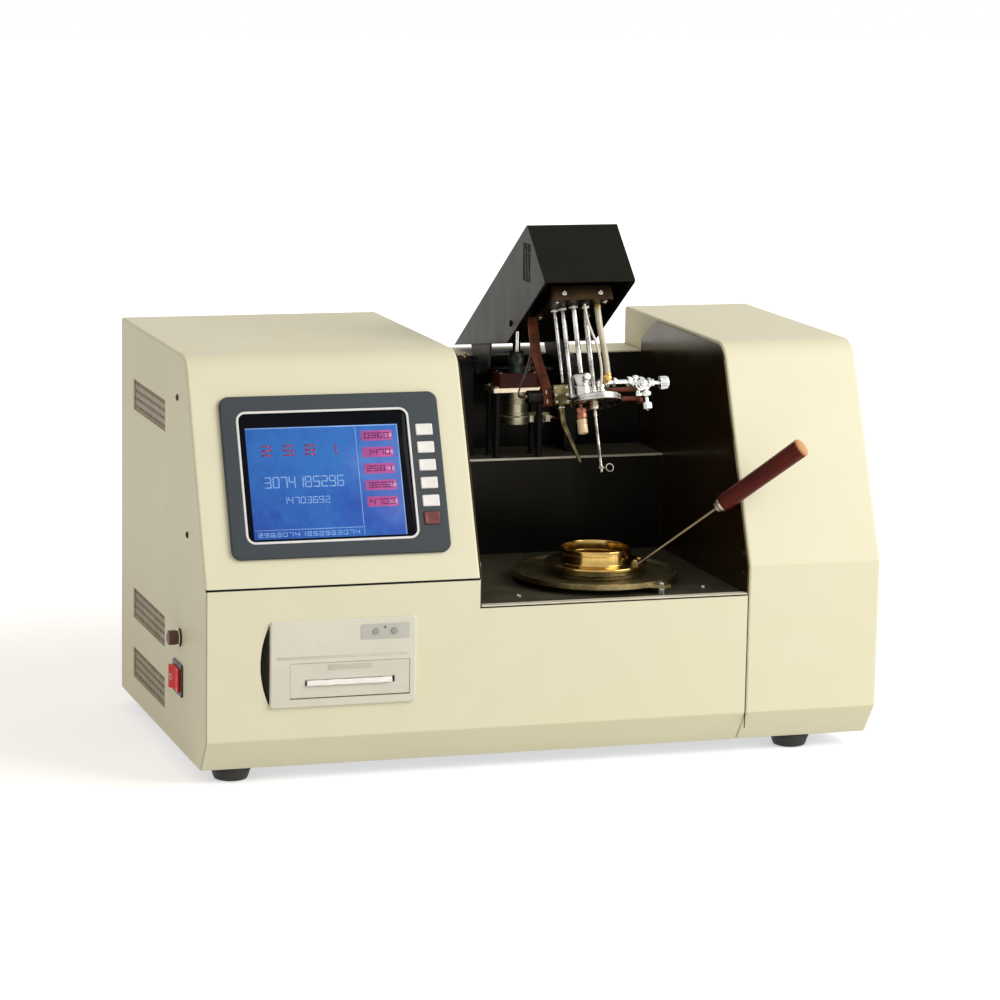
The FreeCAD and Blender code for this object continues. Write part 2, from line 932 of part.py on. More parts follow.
def cup_handle_wire():
    """Lug on the flange, with two wires that draw together towards the ferrule."""
    half = lug_length / 2
    points = [(-half, -lug_width / 2), (half, -lug_width / 2), (half, lug_width / 2),
              (-half, lug_width / 2)]
    lug = flat_prism(points, [lug_corner] * 4, 0, lug_thickness)
    bearing = radians(handle_bearing)
    seat = V(cup_x + (handle_start - half) * cos(bearing),
             cup_y + (handle_start - half) * sin(bearing), flange_top)
    lug.Placement = FreeCAD.Placement(seat, FreeCAD.Rotation(UP, handle_bearing))
    return fused(lug, *handle_wires(wire_radius))


def handle_wires(radius):
    """Two straight wires that end inside the ferrule."""
    wires = []
    for side in (-1, 1):
        start = handle_point(0, side * wire_spread)
        run = handle_point(wire_length, side * wire_join) - start
        end = start + run * ((wire_length + ferrule_sink) / wire_length)
        wires.append(rod(start, end, radius))
    return wires


def cup_handle_ferrule():
    start = handle_point(wire_length)
    profile = [(0, 0), (ferrule_small - rim_rounding, 0), (ferrule_small, rim_rounding),
               (ferrule_large, ferrule_length), (0, ferrule_length)]
    return turned(profile, start, handle_axis()).cut(handle_wires(wire_radius + play))


def grip_radius(share):
    """Grip swells from the ferrule to its far end, with a soft waist."""
    swell = (grip_large - grip_small) * share ** grip_swell_share
    return grip_small + swell - grip_waist * share * (1 - share)


def cup_handle_grip():
    start = handle_point(wire_length + ferrule_length)
    run = grip_length - grip_nose - grip_tail
    heights = [grip_nose + run * step / grip_steps for step in range(grip_steps + 1)]
    profile = [(0, 0), (grip_small - grip_nose, 0)]
    profile += [(grip_radius(height / grip_length), height) for height in heights]
    profile += [(grip_large - grip_tail_drop, grip_length - grip_tail_edge),
                (grip_large - grip_tail, grip_length), (0, grip_length)]
    return turned(profile, start, handle_axis())


# Arm
def box_point(ahead, above):
    """Point of the level arm box: distance ahead of the hinge and height above it."""
    return (hinge_y - ahead, hinge_z + above)


def box_outline():
    """Side of the box: its lower edge runs from the front only to the heel, then up to the tail."""
    marks = [(box_front_bottom, -box_below), (box_front_top, box_above), (-box_tail, box_above),
             (box_heel, -box_below)]
    return [box_point(*mark) for mark in marks]


def side_slot():
    """Vent in the left side, upright while the arm is raised."""
    middle = box_point(box_front_top - side_slot_from_front, box_above - side_slot_from_top)
    slope = radians(box_slope)
    corners = []
    for way, lift in ((-1, -1), (1, -1), (1, 1), (-1, 1)):
        along, up = way * side_slot_width / 2, lift * side_slot_height / 2
        corners.append((middle[0] + along * cos(slope) - up * sin(slope),
                        middle[1] + along * sin(slope) + up * cos(slope)))
    return side_prism(corners, [0] * 4, box_left - overrun, box_left + box_sheet + overrun)


def arm_cover():
    """Box of folded sheet, open below and behind, with a vent and a stud on its left side."""
    outer = side_prism(box_outline(), [box_bend, box_bend, 0, 0], box_left, box_right)
    front_lean = (box_front_bottom - box_front_top) / (box_above + box_below)
    marks = [(box_front_bottom + overrun * front_lean, -box_below - overrun),
             (box_front_top, box_above), (-box_tail - overrun, box_above),
             (-box_tail - overrun, -box_below - overrun)]
    points = inset([box_point(*mark) for mark in marks], box_sheet)
    hollow = side_prism(points, [0, box_bend / 2, 0, 0], box_left + box_sheet,
                        box_right - box_sheet)
    cover = outer.cut([hollow, side_slot()])
    stud_place = V(box_left, *box_point(stud_from_hinge, -box_below / 2))
    return raised(fused(cover, screw(stud_place, V(-1, 0, 0))))


def arm_frame():
    """Chassis plate under the box's roof, with cheeks at the shaft and a lift pad."""
    x0 = box_left + box_sheet + frame_room
    x1 = box_right - box_sheet - frame_room
    top = hinge_z + box_above - box_sheet - frame_top_room
    y_front, y_back = hinge_y - frame_front, hinge_y + frame_tail
    roof = block(x0, x1, y_front, y_back, top - frame_sheet, top)
    low = hinge_z - cheek_drop
    cheek = [(y_back, low), (hinge_y - cheek_front / 2, low),
             (hinge_y - cheek_front, hinge_z + pad_height), (hinge_y - cheek_front, top),
             (y_back, top)]
    cheek.reverse()
    radii = [0, 0, box_bend, box_bend, box_bend]
    cheeks = [side_prism(cheek, radii, x, x + frame_sheet) for x in (x0, x1 - frame_sheet)]
    pad = block(x0, x1, hinge_y - cheek_front, hinge_y - pad_back, hinge_z + pad_height,
                hinge_z + pad_height + pad_thickness)
    hubs = [rod(V(box_left, hinge_y, hinge_z), V(x0 + frame_sheet, hinge_y, hinge_z),
                collar_radius),
            rod(V(x1 - frame_sheet, hinge_y, hinge_z), V(box_right, hinge_y, hinge_z),
                collar_radius)]
    skin = []
    for ahead in (frame_front - frame_tail, cheek_front):
        skin.append(block(box_middle - frame_tail, box_middle + frame_tail,
                          hinge_y - ahead - frame_tail / 2, hinge_y - ahead + frame_tail / 2,
                          top, top + frame_top_room))
    frame = fused(roof, pad, *cheeks, *hubs, *skin)
    hole = rod(V(box_left, hinge_y, hinge_z), V(box_right, hinge_y, hinge_z),
               shaft_radius + play)
    return raised(frame.cut(hole))


def arm_shaft():
    x0 = box_left - bearing_room - bearing_width - shaft_end
    x1 = box_right + bearing_room + bearing_width + shaft_end
    return rod(V(x0, hinge_y, hinge_z), V(x1, hinge_y, hinge_z), shaft_radius)


def arm_bearings():
    """Pedestal bearing on each side of the arm, standing on the shelf."""
    half = bearing_depth / 2
    blocks = []
    for x0 in (box_left - bearing_room - bearing_width, box_right + bearing_room):
        x1 = x0 + bearing_width
        pillar = block(x0, x1, hinge_y - half, hinge_y + half, shelf_height, hinge_z)
        crown = rod(V(x0, hinge_y, hinge_z), V(x1, hinge_y, hinge_z), half)
        crown = crown.common(block(x0, x1, hinge_y - half, hinge_y + half, hinge_z - half,
                                   hinge_z + half))
        bore = rod(V(x0 - overrun, hinge_y, hinge_z), V(x1 + overrun, hinge_y, hinge_z),
                   shaft_radius + play)
        blocks.append(fused(pillar, crown).cut(bore))
    return Part.makeCompound(blocks)


# Lift
def lift_bracket():
    """Plate on four posts that stand on the shelf."""
    x0, x1 = lift_x - lift_plate_width / 2, lift_x + lift_plate_width / 2
    y0, y1 = lift_y - lift_plate_depth / 2 + lift_post_inset, lift_y + lift_plate_depth / 2
    top = lift_plate_height + lift_plate_thickness
    plate = rounded_plate(x0, x1, y0, y1, lift_plate_height, top, lift_post_inset / 2)
    posts = []
    for x in (x0 + lift_post_inset, x1 - lift_post_inset):
        for y in (y0 + lift_post_inset / 2, y1 - lift_post_inset / 2):
            posts.append(rod(V(x, y, shelf_height), V(x, y, lift_plate_height),
                             lift_post_radius))
    hole = rod(V(lift_x, lift_y, lift_plate_height - overrun), V(lift_x, lift_y, top + overrun),
               rod_radius + gap)
    return fused(plate, *posts).cut(hole)


def lift_gearbox():
    z0 = lift_plate_height + lift_plate_thickness
    x0, x1 = lift_x - gearbox_width / 2, lift_x + gearbox_width / 2
    y0, y1 = lift_y - gearbox_depth / 2 + lift_post_inset, lift_y + gearbox_depth / 2
    body = rounded_plate(x0, x1, y0, y1, z0, z0 + gearbox_height, lift_post_inset / 2)
    return body.cut(rod(V(lift_x, lift_y, z0 - overrun),
                        V(lift_x, lift_y, z0 + gearbox_height + overrun), rod_radius + gap))


def guide_bottom():
    return lift_plate_height + lift_plate_thickness + gearbox_height


def lift_guide():
    z0 = guide_bottom()
    neck = guide_radius * guide_top_share
    profile = [(rod_radius + play, z0), (guide_radius, z0),
               (guide_radius, z0 + guide_height * guide_step_share),
               (neck, z0 + guide_height * guide_slant_share), (neck, z0 + guide_height),
               (rod_radius + play, z0 + guide_height)]
    return turned(profile, V(lift_x, lift_y, 0), UP)


def rod_nose():
    """Middle of the lift rod's round nose, just below the pad while the arm is raised."""
    slope = radians(box_slope)
    reach = pad_height - rod_radius - gap + (hinge_y - lift_y) * sin(slope)
    return V(lift_x, lift_y, hinge_z + reach / cos(slope))


def motor_bottom():
    return lift_plate_height - motor_height - motor_foot_height


def lift_rod():
    foot = V(lift_x, lift_y, motor_bottom() + motor_floor + gap + lift_travel)
    return fused(rod(foot, rod_nose(), rod_radius), Part.makeSphere(rod_radius, rod_nose()))


def lift_motor():
    """Motor hung below the plate, with a foot and a cable tab at its lower end."""
    top = lift_plate_height
    low = top - motor_height
    bottom = motor_bottom()
    profile = [(0, bottom), (motor_foot_radius, bottom), (motor_foot_radius, low - rim_rounding),
               (motor_foot_radius - rim_rounding, low), (motor_radius, low),
               (motor_radius, top), (0, top)]
    body = turned(profile, V(lift_x, lift_y, 0), UP)
    tab = block(lift_x, lift_x + motor_radius + motor_tab_length, lift_y - motor_tab_width / 2,
                lift_y + motor_tab_width / 2, bottom + rim_rounding, low - rim_rounding)
    bore = rod(V(lift_x, lift_y, bottom + motor_floor), V(lift_x, lift_y, top + overrun),
               rod_radius + gap)
    return fused(body, tab).cut(bore)


# Head
def head_bracket():
    """Block for the head's rods, with the plate that hangs it from the chassis above."""
    top = bracket_rise + bracket_thickness
    body = rounded_plate(bracket_left, bracket_right, bracket_front, bracket_back,
                         bracket_rise, top, hanger_thickness)
    tilt = radians(box_slope - arm_swing)
    chassis = box_above - box_sheet - frame_top_room - frame_sheet
    y0 = (bracket_front + bracket_back) / 2
    y1 = y0 + hanger_thickness
    roof = chassis / cos(tilt) - y1 * tan(tilt) - gap
    hanger = block(-hanger_width / 2, hanger_width / 2, y0, y1, top, roof)
    return hung(fused(body, hanger))


def carrier_rods():
    """Four upright rods between the head's block and what hangs from it."""
    top = bracket_rise
    clamp_top = disc_top + clamp_height
    marks = [(main_rod_x, disc_y, disc_top, main_rod_radius),
             (side_rod_x, side_rod_y, disc_top, side_rod_radius),
             (clamp_x, clamp_y, clamp_top, clamp_rod_radius),
             (thin_rod_x, thin_rod_y, top - thin_rod_length, thin_rod_radius)]
    rods = [rod(V(x, y, foot), V(x, y, top), radius) for x, y, foot, radius in marks]
    return hung(Part.makeCompound(rods))


def carrier_disc():
    profile = [(0, disc_bottom), (disc_radius - disc_edge, disc_bottom),
               (disc_radius, disc_bottom + disc_edge), (disc_radius, disc_top - disc_edge),
               (disc_radius - disc_edge, disc_top), (0, disc_top)]
    return hung(turned(profile, V(disc_x, disc_y, 0), UP))


def probe_clamp():
    radius, waist = clamp_radius, clamp_radius - clamp_groove
    low = disc_top + clamp_groove_rise
    high = low + clamp_groove_slant + clamp_groove_band
    top = disc_top + clamp_height
    profile = [(0, disc_top), (radius, disc_top), (radius, low),
               (waist, low + clamp_groove_slant), (waist, high),
               (radius, high + clamp_groove_slant), (radius, top - clamp_bevel),
               (radius - clamp_bevel, top), (0, top)]
    return hung(turned(profile, V(clamp_x, clamp_y, 0), UP))


def temperature_probe():
    foot = V(probe_x, probe_y, 0)
    z0, z1 = probe_tip, disc_bottom
    profile = [(0, z0), (probe_tip_radius, z0), (probe_radius, z0 + probe_radius),
               (probe_radius, z1 - probe_collar_height),
               (probe_collar_radius, z1 - probe_collar_height), (probe_collar_radius, z1), (0, z1)]
    return hung(turned(profile, foot, UP))


def detector_ring():
    """Wire ring beside the probe, held by a short stalk and a clip."""
    x = probe_x + probe_radius + ring_offset
    ring_height = probe_tip + ring_rise
    bore, wall = probe_radius + play, probe_radius + ring_clip_wall
    clip = turned([(bore, 0), (wall, 0), (wall, ring_clip_height), (bore, ring_clip_height)],
                  V(probe_x, probe_y, ring_height - ring_clip_height / 2), UP)
    centre = V(x + ring_radius, probe_y, ring_height)
    ring = Part.makeTorus(ring_radius, ring_wire, centre, BACK)
    stalk = rod(V(probe_x + probe_radius + ring_wire, probe_y, ring_height),
                V(x, probe_y, ring_height), ring_stalk_radius)
    return hung(fused(clip, stalk, ring))


def flame_sensor():
    """Two-part insulator on a neck below the disc."""
    z2 = disc_bottom - sensor_neck_height
    z1 = z2 - sensor_cap_height
    z0 = z1 - sensor_foot_height
    edge = rim_rounding
    profile = [(0, z0), (sensor_foot_radius - edge, z0), (sensor_foot_radius, z0 + edge),
               (sensor_foot_radius, z1), (sensor_cap_radius - edge, z1),
               (sensor_cap_radius, z1 + edge), (sensor_cap_radius, z2 - edge),
               (sensor_cap_radius - edge, z2), (sensor_neck_radius, z2),
               (sensor_neck_radius, disc_bottom), (0, disc_bottom)]
    return hung(turned(profile, V(sensor_x, sensor_y, 0), UP))


def gas_manifold():
    """Fitting on the disc, a pipe to the right and the block of the two needle valves."""
    z0 = disc_top
    nut_top = z0 + fitting_nut_height
    crown = gas_pipe_height + gas_pipe_radius + fitting_slant
    fitting = turned([(0, z0), (fitting_radius, z0), (fitting_radius, nut_top),
                      (fitting_neck_radius, nut_top + fitting_slant),
                      (fitting_neck_radius, crown), (0, crown)],
                     V(fitting_x, fitting_y, 0), UP)
    pipe = rod(V(fitting_x, fitting_y, gas_pipe_height), V(gas_pipe_end, fitting_y, gas_pipe_height),
               gas_pipe_radius)
    stub = rod(V(hose_x, fitting_y, gas_pipe_height),
               V(hose_x, fitting_y, gas_pipe_height + hose_stub_height), hose_radius)
    top = valve_top
    body = block(gas_pipe_end, gas_pipe_end + valve_width, fitting_y - valve_depth / 2,
                 fitting_y + valve_depth / 2, top - valve_height, top)
    nose_x = gas_pipe_end + valve_nose_inset
    nose = rod(V(nose_x, fitting_y, top - valve_height / 2),
               V(nose_x, fitting_y - valve_depth / 2 - valve_nose_length,
                 top - valve_height / 2), valve_nose_radius)
    return hung(fused(fitting, pipe, stub, body, nose))


def main_knob_place():
    return V(gas_pipe_end + valve_width + gap, fitting_y, valve_top - main_knob_radius)


def knob(place, axis, radius, length):
    stem = rod(place, place + axis * valve_stem_length, valve_stem_radius)
    profile = [(0, 0), (radius - knob_edge, 0), (radius, knob_edge),
               (radius, length * knob_grip_share), (radius * knob_face_share, length),
               (0, length)]
    body = turned(profile, place + axis * valve_stem_length, axis)
    flutes = []
    side = V(axis.y, axis.z, axis.x) * (radius + knob_edge / 2)
    for index in range(knob_flutes):
        spoke = FreeCAD.Rotation(axis, 360 * index / knob_flutes).multVec(side)
        foot = place + axis * (valve_stem_length - gap) + spoke
        flutes.append(rod(foot, foot + axis * (length + overrun), knob_edge))
    return fused(stem, body).cut(flutes)


def gas_knob_main():
    return hung(knob(main_knob_place(), RIGHT, main_knob_radius, main_knob_length))


def pilot_knob_place():
    return V(gas_pipe_end + pilot_knob_inset, fitting_y, valve_top - valve_height - gap)


def gas_knob_pilot():
    return hung(knob(pilot_knob_place(), V(0, 0, -1), pilot_knob_radius, pilot_knob_length))


def hose_points():
    """Straight up from the stub, a lean to the left and front, and straight into the block."""
    foot, top = gas_pipe_height + hose_stub_height, bracket_rise
    rise = top - foot
    x, y = hose_x - hose_lean_x, fitting_y - hose_lean_y
    return [V(hose_x, fitting_y, foot), V(hose_x, fitting_y, foot + rise * hose_low_share),
            V(x, y, foot + rise * hose_high_share), V(x, y, top)]


def gas_hose():
    points = hose_points()
    path = tube_path(points)
    outer = swept(path, hose_radius, points)
    bore = swept(path, hose_bore, points)
    return hung(outer.cut(bore))


def rail_right():
    return carriage_x + carriage_width / 2 + flame_travel + rail_spare


def sweep_bracket():
    """Cranked flat bar from the head's block, carrying two cantilever rails."""
    x0, w = sweep_bar_left, sweep_bar_width
    z_knee, z_foot = bracket_rise - sweep_bar_straight, rail_low - rail_radius * 2
    z_head = rail_low + rail_pitch + rail_radius * 2
    run = rail_left - x0
    y0 = rail_y - sweep_bar_thickness / 2
    marks = [(x0, bracket_rise), (x0 + w, bracket_rise), (x0 + w, z_knee),
             (x0 + w + run, z_head), (x0 + w + run, z_foot), (x0 + run, z_foot),
             (x0 + run, z_head), (x0, z_knee)]
    wire = Part.makePolygon([V(x, y0, z) for x, z in marks + marks[:1]])
    bar = Part.Face(wire).extrude(V(0, sweep_bar_thickness, 0))
    rails = []
    for z in (rail_low, rail_low + rail_pitch):
        rails.append(rod(V(rail_left, rail_y, z), V(rail_right(), rail_y, z), rail_radius))
    end_x = rail_right()
    end = block(end_x, end_x + rail_end_thickness, rail_y - rail_end_width / 2,
                rail_y + rail_end_width / 2, z_foot, z_head)
    boss = block(rail_left, rail_left + rail_end_thickness, rail_y - rail_end_width / 2,
                 rail_y + rail_end_width / 2, z_foot, z_head)
    return hung(fused(bar, end, boss, *rails))


def sweep_motor():
    z = rail_low + rail_pitch / 2
    x1 = rail_left - gap
    x0 = x1 - sweep_motor_length
    body = turned([(0, 0), (sweep_motor_radius - rim_rounding, 0),
                   (sweep_motor_radius, rim_rounding), (sweep_motor_radius, sweep_motor_length),
                   (0, sweep_motor_length)], V(x0, rail_y, z), RIGHT)
    return hung(body)


def flame_tube():
    """Carriage on the rails with the tapered gas tube that hangs from it."""
    z0 = rail_low - carriage_overlap
    z1 = rail_low + rail_pitch + carriage_overlap
    half = carriage_width / 2
    body = block(carriage_x - half, carriage_x + half, rail_y - carriage_depth / 2,
                 rail_y + carriage_depth / 2, z0, z1)
    bores = [rod(V(carriage_x - half - overrun, rail_y, z), V(carriage_x + half + overrun,
             rail_y, z), rail_radius + play) for z in (rail_low, rail_low + rail_pitch)]
    top = V(carriage_x, rail_y, z0 + gap)
    knee = V(carriage_x, rail_y - flame_knee_forward, rail_low - flame_knee_drop)
    tip = V(flame_tip_x, flame_tip_y, cup_rim_height + flame_tip_room - hinge_z)
    upper = cone(top, knee, flame_top_radius, flame_knee_radius)
    ball = Part.makeSphere(flame_knee_radius, knee)
    lower = cone(knee, tip, flame_knee_radius, flame_tip_radius)
    axis = (tip - knee).normalize()
    bore = rod(tip - axis * flame_knee_radius, tip + axis * overrun, flame_bore)
    level = block(tip.x - overrun, tip.x + overrun, tip.y - overrun, tip.y + overrun,
                  tip.z - overrun, tip.z)
    return hung(fused(body.cut(bores), upper, ball, lower).cut([bore, level]))


def cone(start, end, first_radius, second_radius):
    return Part.makeCone(first_radius, second_radius, (end - start).Length, start, end - start)


# Screen and keys
def bezel_skirt(clearance):
    """Rectangle of the skirt behind the bezel, grown by a negative clearance."""
    step = bezel_skirt_inset + clearance
    return (bezel_left + step, bezel_left + bezel_width - step,
            bezel_bottom + step, bezel_bottom + bezel_height - step)


def window_rectangle(grow=0):
    x0, y0 = bezel_left + window_left - grow, bezel_bottom + window_bottom - grow
    return x0, x0 + window_width + grow * 2, y0, y0 + window_height + grow * 2


def key_rectangles():
    """One rectangle for each key: the stop key, then the others upwards."""
    x0 = bezel_left + key_left
    low = bezel_bottom + stop_key_bottom
    rectangles = [(x0, x0 + stop_key_width, low, low + stop_key_height)]
    for index in range(key_count):
        low = bezel_bottom + key_low + key_pitch * index
        rectangles.append((x0, x0 + key_width, low, low + key_height))
    return rectangles


def screen_bezel():
    plate = rounded_plate(bezel_left, bezel_left + bezel_width, bezel_bottom,
                          bezel_bottom + bezel_height, 0, bezel_thickness, bezel_corner)
    rim = [edge for edge in plate.Edges if edge.BoundBox.ZMin > bezel_thickness - gap]
    plate = plate.makeChamfer(bezel_edge, rim)
    x0, x1, y0, y1 = bezel_skirt(0)
    wall = bezel_skirt_wall
    skirt = block(x0, x1, y0, y1, -bezel_skirt_depth, 0)
    skirt = skirt.cut(block(x0 + wall, x1 - wall, y0 + wall, y1 - wall,
                            -bezel_skirt_depth - overrun, 0))
    cuts = [rounded_plate(*window_rectangle(), -overrun, bezel_thickness + overrun,
                          window_corner)]
    for x0, x1, y0, y1 in key_rectangles():
        cuts.append(rounded_plate(x0 - key_room, x1 + key_room, y0 - key_room, y1 + key_room,
                                  -overrun, bezel_thickness + overrun, key_corner + key_room))
    return on_slope(fused(plate, skirt).cut(cuts))


def screen_panel():
    """Display behind the window, on a board that also backs the keys."""
    x0, x1, y0, y1 = window_rectangle(screen_border)
    glass = block(x0, x1, y0, y1, -bezel_skirt_depth, 0)
    x0, x1, y0, y1 = bezel_skirt(bezel_skirt_wall + gap)
    board = block(x0, x1, y0, y1, -bezel_skirt_depth - board_thickness, -bezel_skirt_depth)
    return on_slope(fused(glass, board))


def panel_key(rectangle):
    x0, x1, y0, y1 = rectangle
    bottom = -bezel_skirt_depth + key_travel + key_room
    top = bezel_thickness + key_proud
    cap = rounded_plate(x0, x1, y0, y1, bottom, top, key_corner)
    rim = [edge for edge in cap.Edges if edge.BoundBox.ZMin > top - gap]
    return on_slope(cap.makeChamfer(key_edge, rim))


# Printer
def printer_case():
    x0, x1 = printer_left, printer_left + printer_width
    z0, z1 = printer_bottom, printer_bottom + printer_height
    face = rounded_plate(x0, x1, z0, z1, 0, printer_proud, printer_corner)
    rim = [edge for edge in face.Edges if edge.BoundBox.ZMin > printer_proud - gap]
    face = face.makeChamfer(printer_edge, rim)
    face.Placement = FreeCAD.Placement(V(0, 0, 0), FreeCAD.Rotation(RIGHT, 90))
    inner = printer_inset
    body = block(x0 + inner, x1 - inner, 0, printer_body_depth, z0 + inner, z1 - inner)
    wall = inner + printer_wall
    hollow = block(x0 + wall, x1 - wall, printer_wall, printer_body_depth - printer_wall,
                   z0 + wall, z1 - wall)
    dx0, dx1, dz0, dz1 = door_rectangle()
    mouth = block(dx0 - gap, dx1 + gap, -printer_proud - overrun, printer_wall + overrun,
                  dz0 - door_foot_room, dz1 + gap)
    return fused(face, body).cut([hollow, mouth, door_pins(play)])


def door_pins(clearance):
    """Pin that stands out at each end of the door's foot, grown by a clearance."""
    x0, x1, z0, z1 = door_rectangle()
    reach = door_pin_length + clearance
    place = door_hinge_place()
    return rod(place + RIGHT * (x0 - reach), place + RIGHT * (x1 + reach),
               door_pin_radius + clearance)


def door_rectangle():
    x0 = printer_left + door_left
    z0 = printer_bottom + door_bottom
    return x0, x0 + door_width, z0, z0 + door_height


def door_front():
    return -printer_proud + door_sink


def door_hinge_place():
    z0 = door_rectangle()[2]
    return V(0, door_front() + door_thickness / 2, z0 + door_hinge_rise)


def roller_centre():
    x0, x1, z0, z1 = door_rectangle()
    y = door_front() + door_thickness + ear_reach / 2
    return V((x0 + x1) / 2, y, z0 + roller_rise)


def printer_door():
    """Paper door with its slot, hinge pins and the two ears that hold the roller."""
    x0, x1, z0, z1 = door_rectangle()
    y0 = door_front()
    y1 = y0 + door_thickness
    plate = block(x0, x1, y0, y1, z0, z1)
    middle = roller_centre()
    ears = []
    for ex in (x0 + ear_thickness, x1 - ear_thickness * 2):
        ears.append(block(ex, ex + ear_thickness, y1, y1 + ear_reach - play,
                          middle.z - ear_height / 2, middle.z + ear_height / 2))
    half = paper_slot_width / 2
    slot_z = z0 + paper_slot_rise
    slot = block(middle.x - half, middle.x + half, y0 - overrun, y1 + overrun, slot_z,
                 slot_z + paper_slot_height)
    pins = rod(V(x0, middle.y, middle.z), V(x1, middle.y, middle.z), roller_pin_radius + play)
    pins = pins.common(block(x0 + ear_thickness, x1 - ear_thickness, y1, y1 + ear_reach,
                             z0, z1))
    return fused(plate, door_pins(0), *ears).cut([slot, pins])


def printer_roller():
    x0, x1, z0, z1 = door_rectangle()
    middle = roller_centre()
    face0, face1 = x0 + ear_thickness * 2 + gap, x1 - ear_thickness * 2 - gap
    body = rod(V(face0, middle.y, middle.z), V(face1, middle.y, middle.z), roller_radius)
    pin = rod(V(x0 + ear_thickness + gap, middle.y, middle.z),
              V(x1 - ear_thickness - gap, middle.y, middle.z), roller_pin_radius)
    return fused(body, pin)


def paper_roll_centre():
    x0, x1, z0, z1 = door_rectangle()
    floor = printer_bottom + printer_inset + printer_wall
    return V((x0 + x1) / 2, paper_y, floor + gap + paper_radius)


def paper_roll():
    middle = paper_roll_centre()
    start = middle - RIGHT * (paper_width / 2)
    end = middle + RIGHT * (paper_width / 2)
    return rod(start, end, paper_radius).cut(rod(start - RIGHT * overrun, end + RIGHT * overrun,
                                                 paper_core))


# Left side
def vent_screen(z0):
    """Pierced sheet behind one opening, with staggered holes."""
    y0, y1 = vent_front - vent_frame, vent_front + vent_length + vent_frame
    bottom, top = z0 - vent_frame, z0 + vent_height + vent_frame
    pitch_y = vent_length / vent_columns
    pitch_z = vent_height / vent_rows
    x = sheet
    outer = Part.makePolygon([V(x, y0, bottom), V(x, y1, bottom), V(x, y1, top),
                              V(x, y0, top), V(x, y0, bottom)])
    holes = []
    for row in range(vent_rows):
        z = z0 + pitch_z * row + pitch_z / 2
        share = 1 - vent_stagger_share if row % 2 else vent_stagger_share
        for column in range(vent_columns):
            y = vent_front + pitch_y * (column + share)
            holes.append(Part.Wire(Part.makeCircle(vent_hole_radius, V(x, y, z), RIGHT)))
    return Part.Face([outer] + holes, "Part::FaceMakerCheese").extrude(V(vent_mesh, 0, 0))


def vent_screens():
    return Part.makeCompound([vent_screen(z0) for z0 in vent_bottoms])


def switch_opening():
    y, z = switch_length / 2 - switch_rim, switch_height / 2 - switch_rim
    return block(-overrun, sheet + overrun, switch_y - y - gap, switch_y + y + gap,
                 switch_z - z - gap, switch_z + z + gap)


def switch_frame():
    flange = rounded_plate(-switch_height / 2, switch_height / 2, -switch_length / 2,
                           switch_length / 2, 0, switch_flange, switch_rim)
    rim = [edge for edge in flange.Edges if edge.BoundBox.ZMin > switch_flange - gap]
    flange = flange.makeChamfer(rim_rounding, rim)
    turn = FreeCAD.Rotation(BACK, -90)
    flange.Placement = FreeCAD.Placement(V(0, switch_y, switch_z), turn)
    y, z = switch_length / 2 - switch_rim, switch_height / 2 - switch_rim
    body = block(0, switch_body_depth, switch_y - y, switch_y + y, switch_z - z, switch_z + z)
    y, z = y - switch_body_wall, z - switch_body_wall
    well = block(-switch_flange - overrun, switch_body_depth - switch_body_wall, switch_y - y,
                 switch_y + y, switch_z - z, switch_z + z)
    pin = rod(V(rocker_pivot_depth, switch_y, switch_z - z), V(rocker_pivot_depth, switch_y,
              switch_z + z), rocker_waist / 2)
    return fused(fused(flange, body).cut(well), pin)


def switch_rocker():
    """Rocker with a dished face, tipped so that its rear end stands out."""
    half = rocker_half_length
    z = switch_height / 2 - switch_rim - switch_body_wall - gap
    foot = half * rocker_foot_share
    marks = [(-rocker_crown, -half), (-rocker_waist, 0), (-rocker_crown, half),
             (rocker_depth, foot), (rocker_depth, -foot)]
    points = [(x, switch_y + y) for x, y in marks]
    solid = flat_prism(points, [rim_rounding, 0, rim_rounding, rim_rounding, rim_rounding],
                       switch_z - z, switch_z + z)
    hole = rod(V(rocker_pivot_depth, switch_y, switch_z - z - overrun),
               V(rocker_pivot_depth, switch_y, switch_z + z + overrun), rocker_waist / 2 + play)
    solid = solid.cut(hole)
    solid.rotate(V(rocker_pivot_depth, switch_y, switch_z), UP, rocker_tilt)
    return solid


def fuse_holder():
    axis = V(-1, 0, 0)
    foot = V(fuse_body_length, fuse_y, fuse_z)
    length = fuse_body_length
    bore = fuse_stem_radius + play
    profile = [(0, 0), (fuse_body_radius, 0), (fuse_body_radius, length),
               (fuse_flange_radius, length), (fuse_flange_radius, length + fuse_flange_thickness),
               (bore, length + fuse_flange_thickness), (bore, length - fuse_stem_length - gap),
               (0, length - fuse_stem_length - gap)]
    return turned(profile, foot, axis)


def fuse_cap():
    axis = V(-1, 0, 0)
    face = -fuse_flange_thickness - gap
    stem = rod(V(face + fuse_stem_length, fuse_y, fuse_z), V(face, fuse_y, fuse_z),
               fuse_stem_radius)
    edge = rim_rounding
    profile = [(0, 0), (fuse_cap_radius, 0), (fuse_cap_radius, fuse_cap_length - edge),
               (fuse_cap_radius - edge, fuse_cap_length), (0, fuse_cap_length)]
    body = turned(profile, V(face, fuse_y, fuse_z), axis)
    slot = block(face - fuse_cap_length - overrun, face - fuse_cap_length + fuse_wing_height,
                 fuse_y - fuse_cap_radius - overrun, fuse_y + fuse_cap_radius + overrun,
                 fuse_z - fuse_wing_width / 2, fuse_z + fuse_wing_width / 2)
    return fused(stem, body).cut(slot)


# Back
def inlet_body_width():
    return inlet_mouth_width + inlet_wall * 2


def inlet_body_height():
    return inlet_mouth_height + inlet_wall * 2


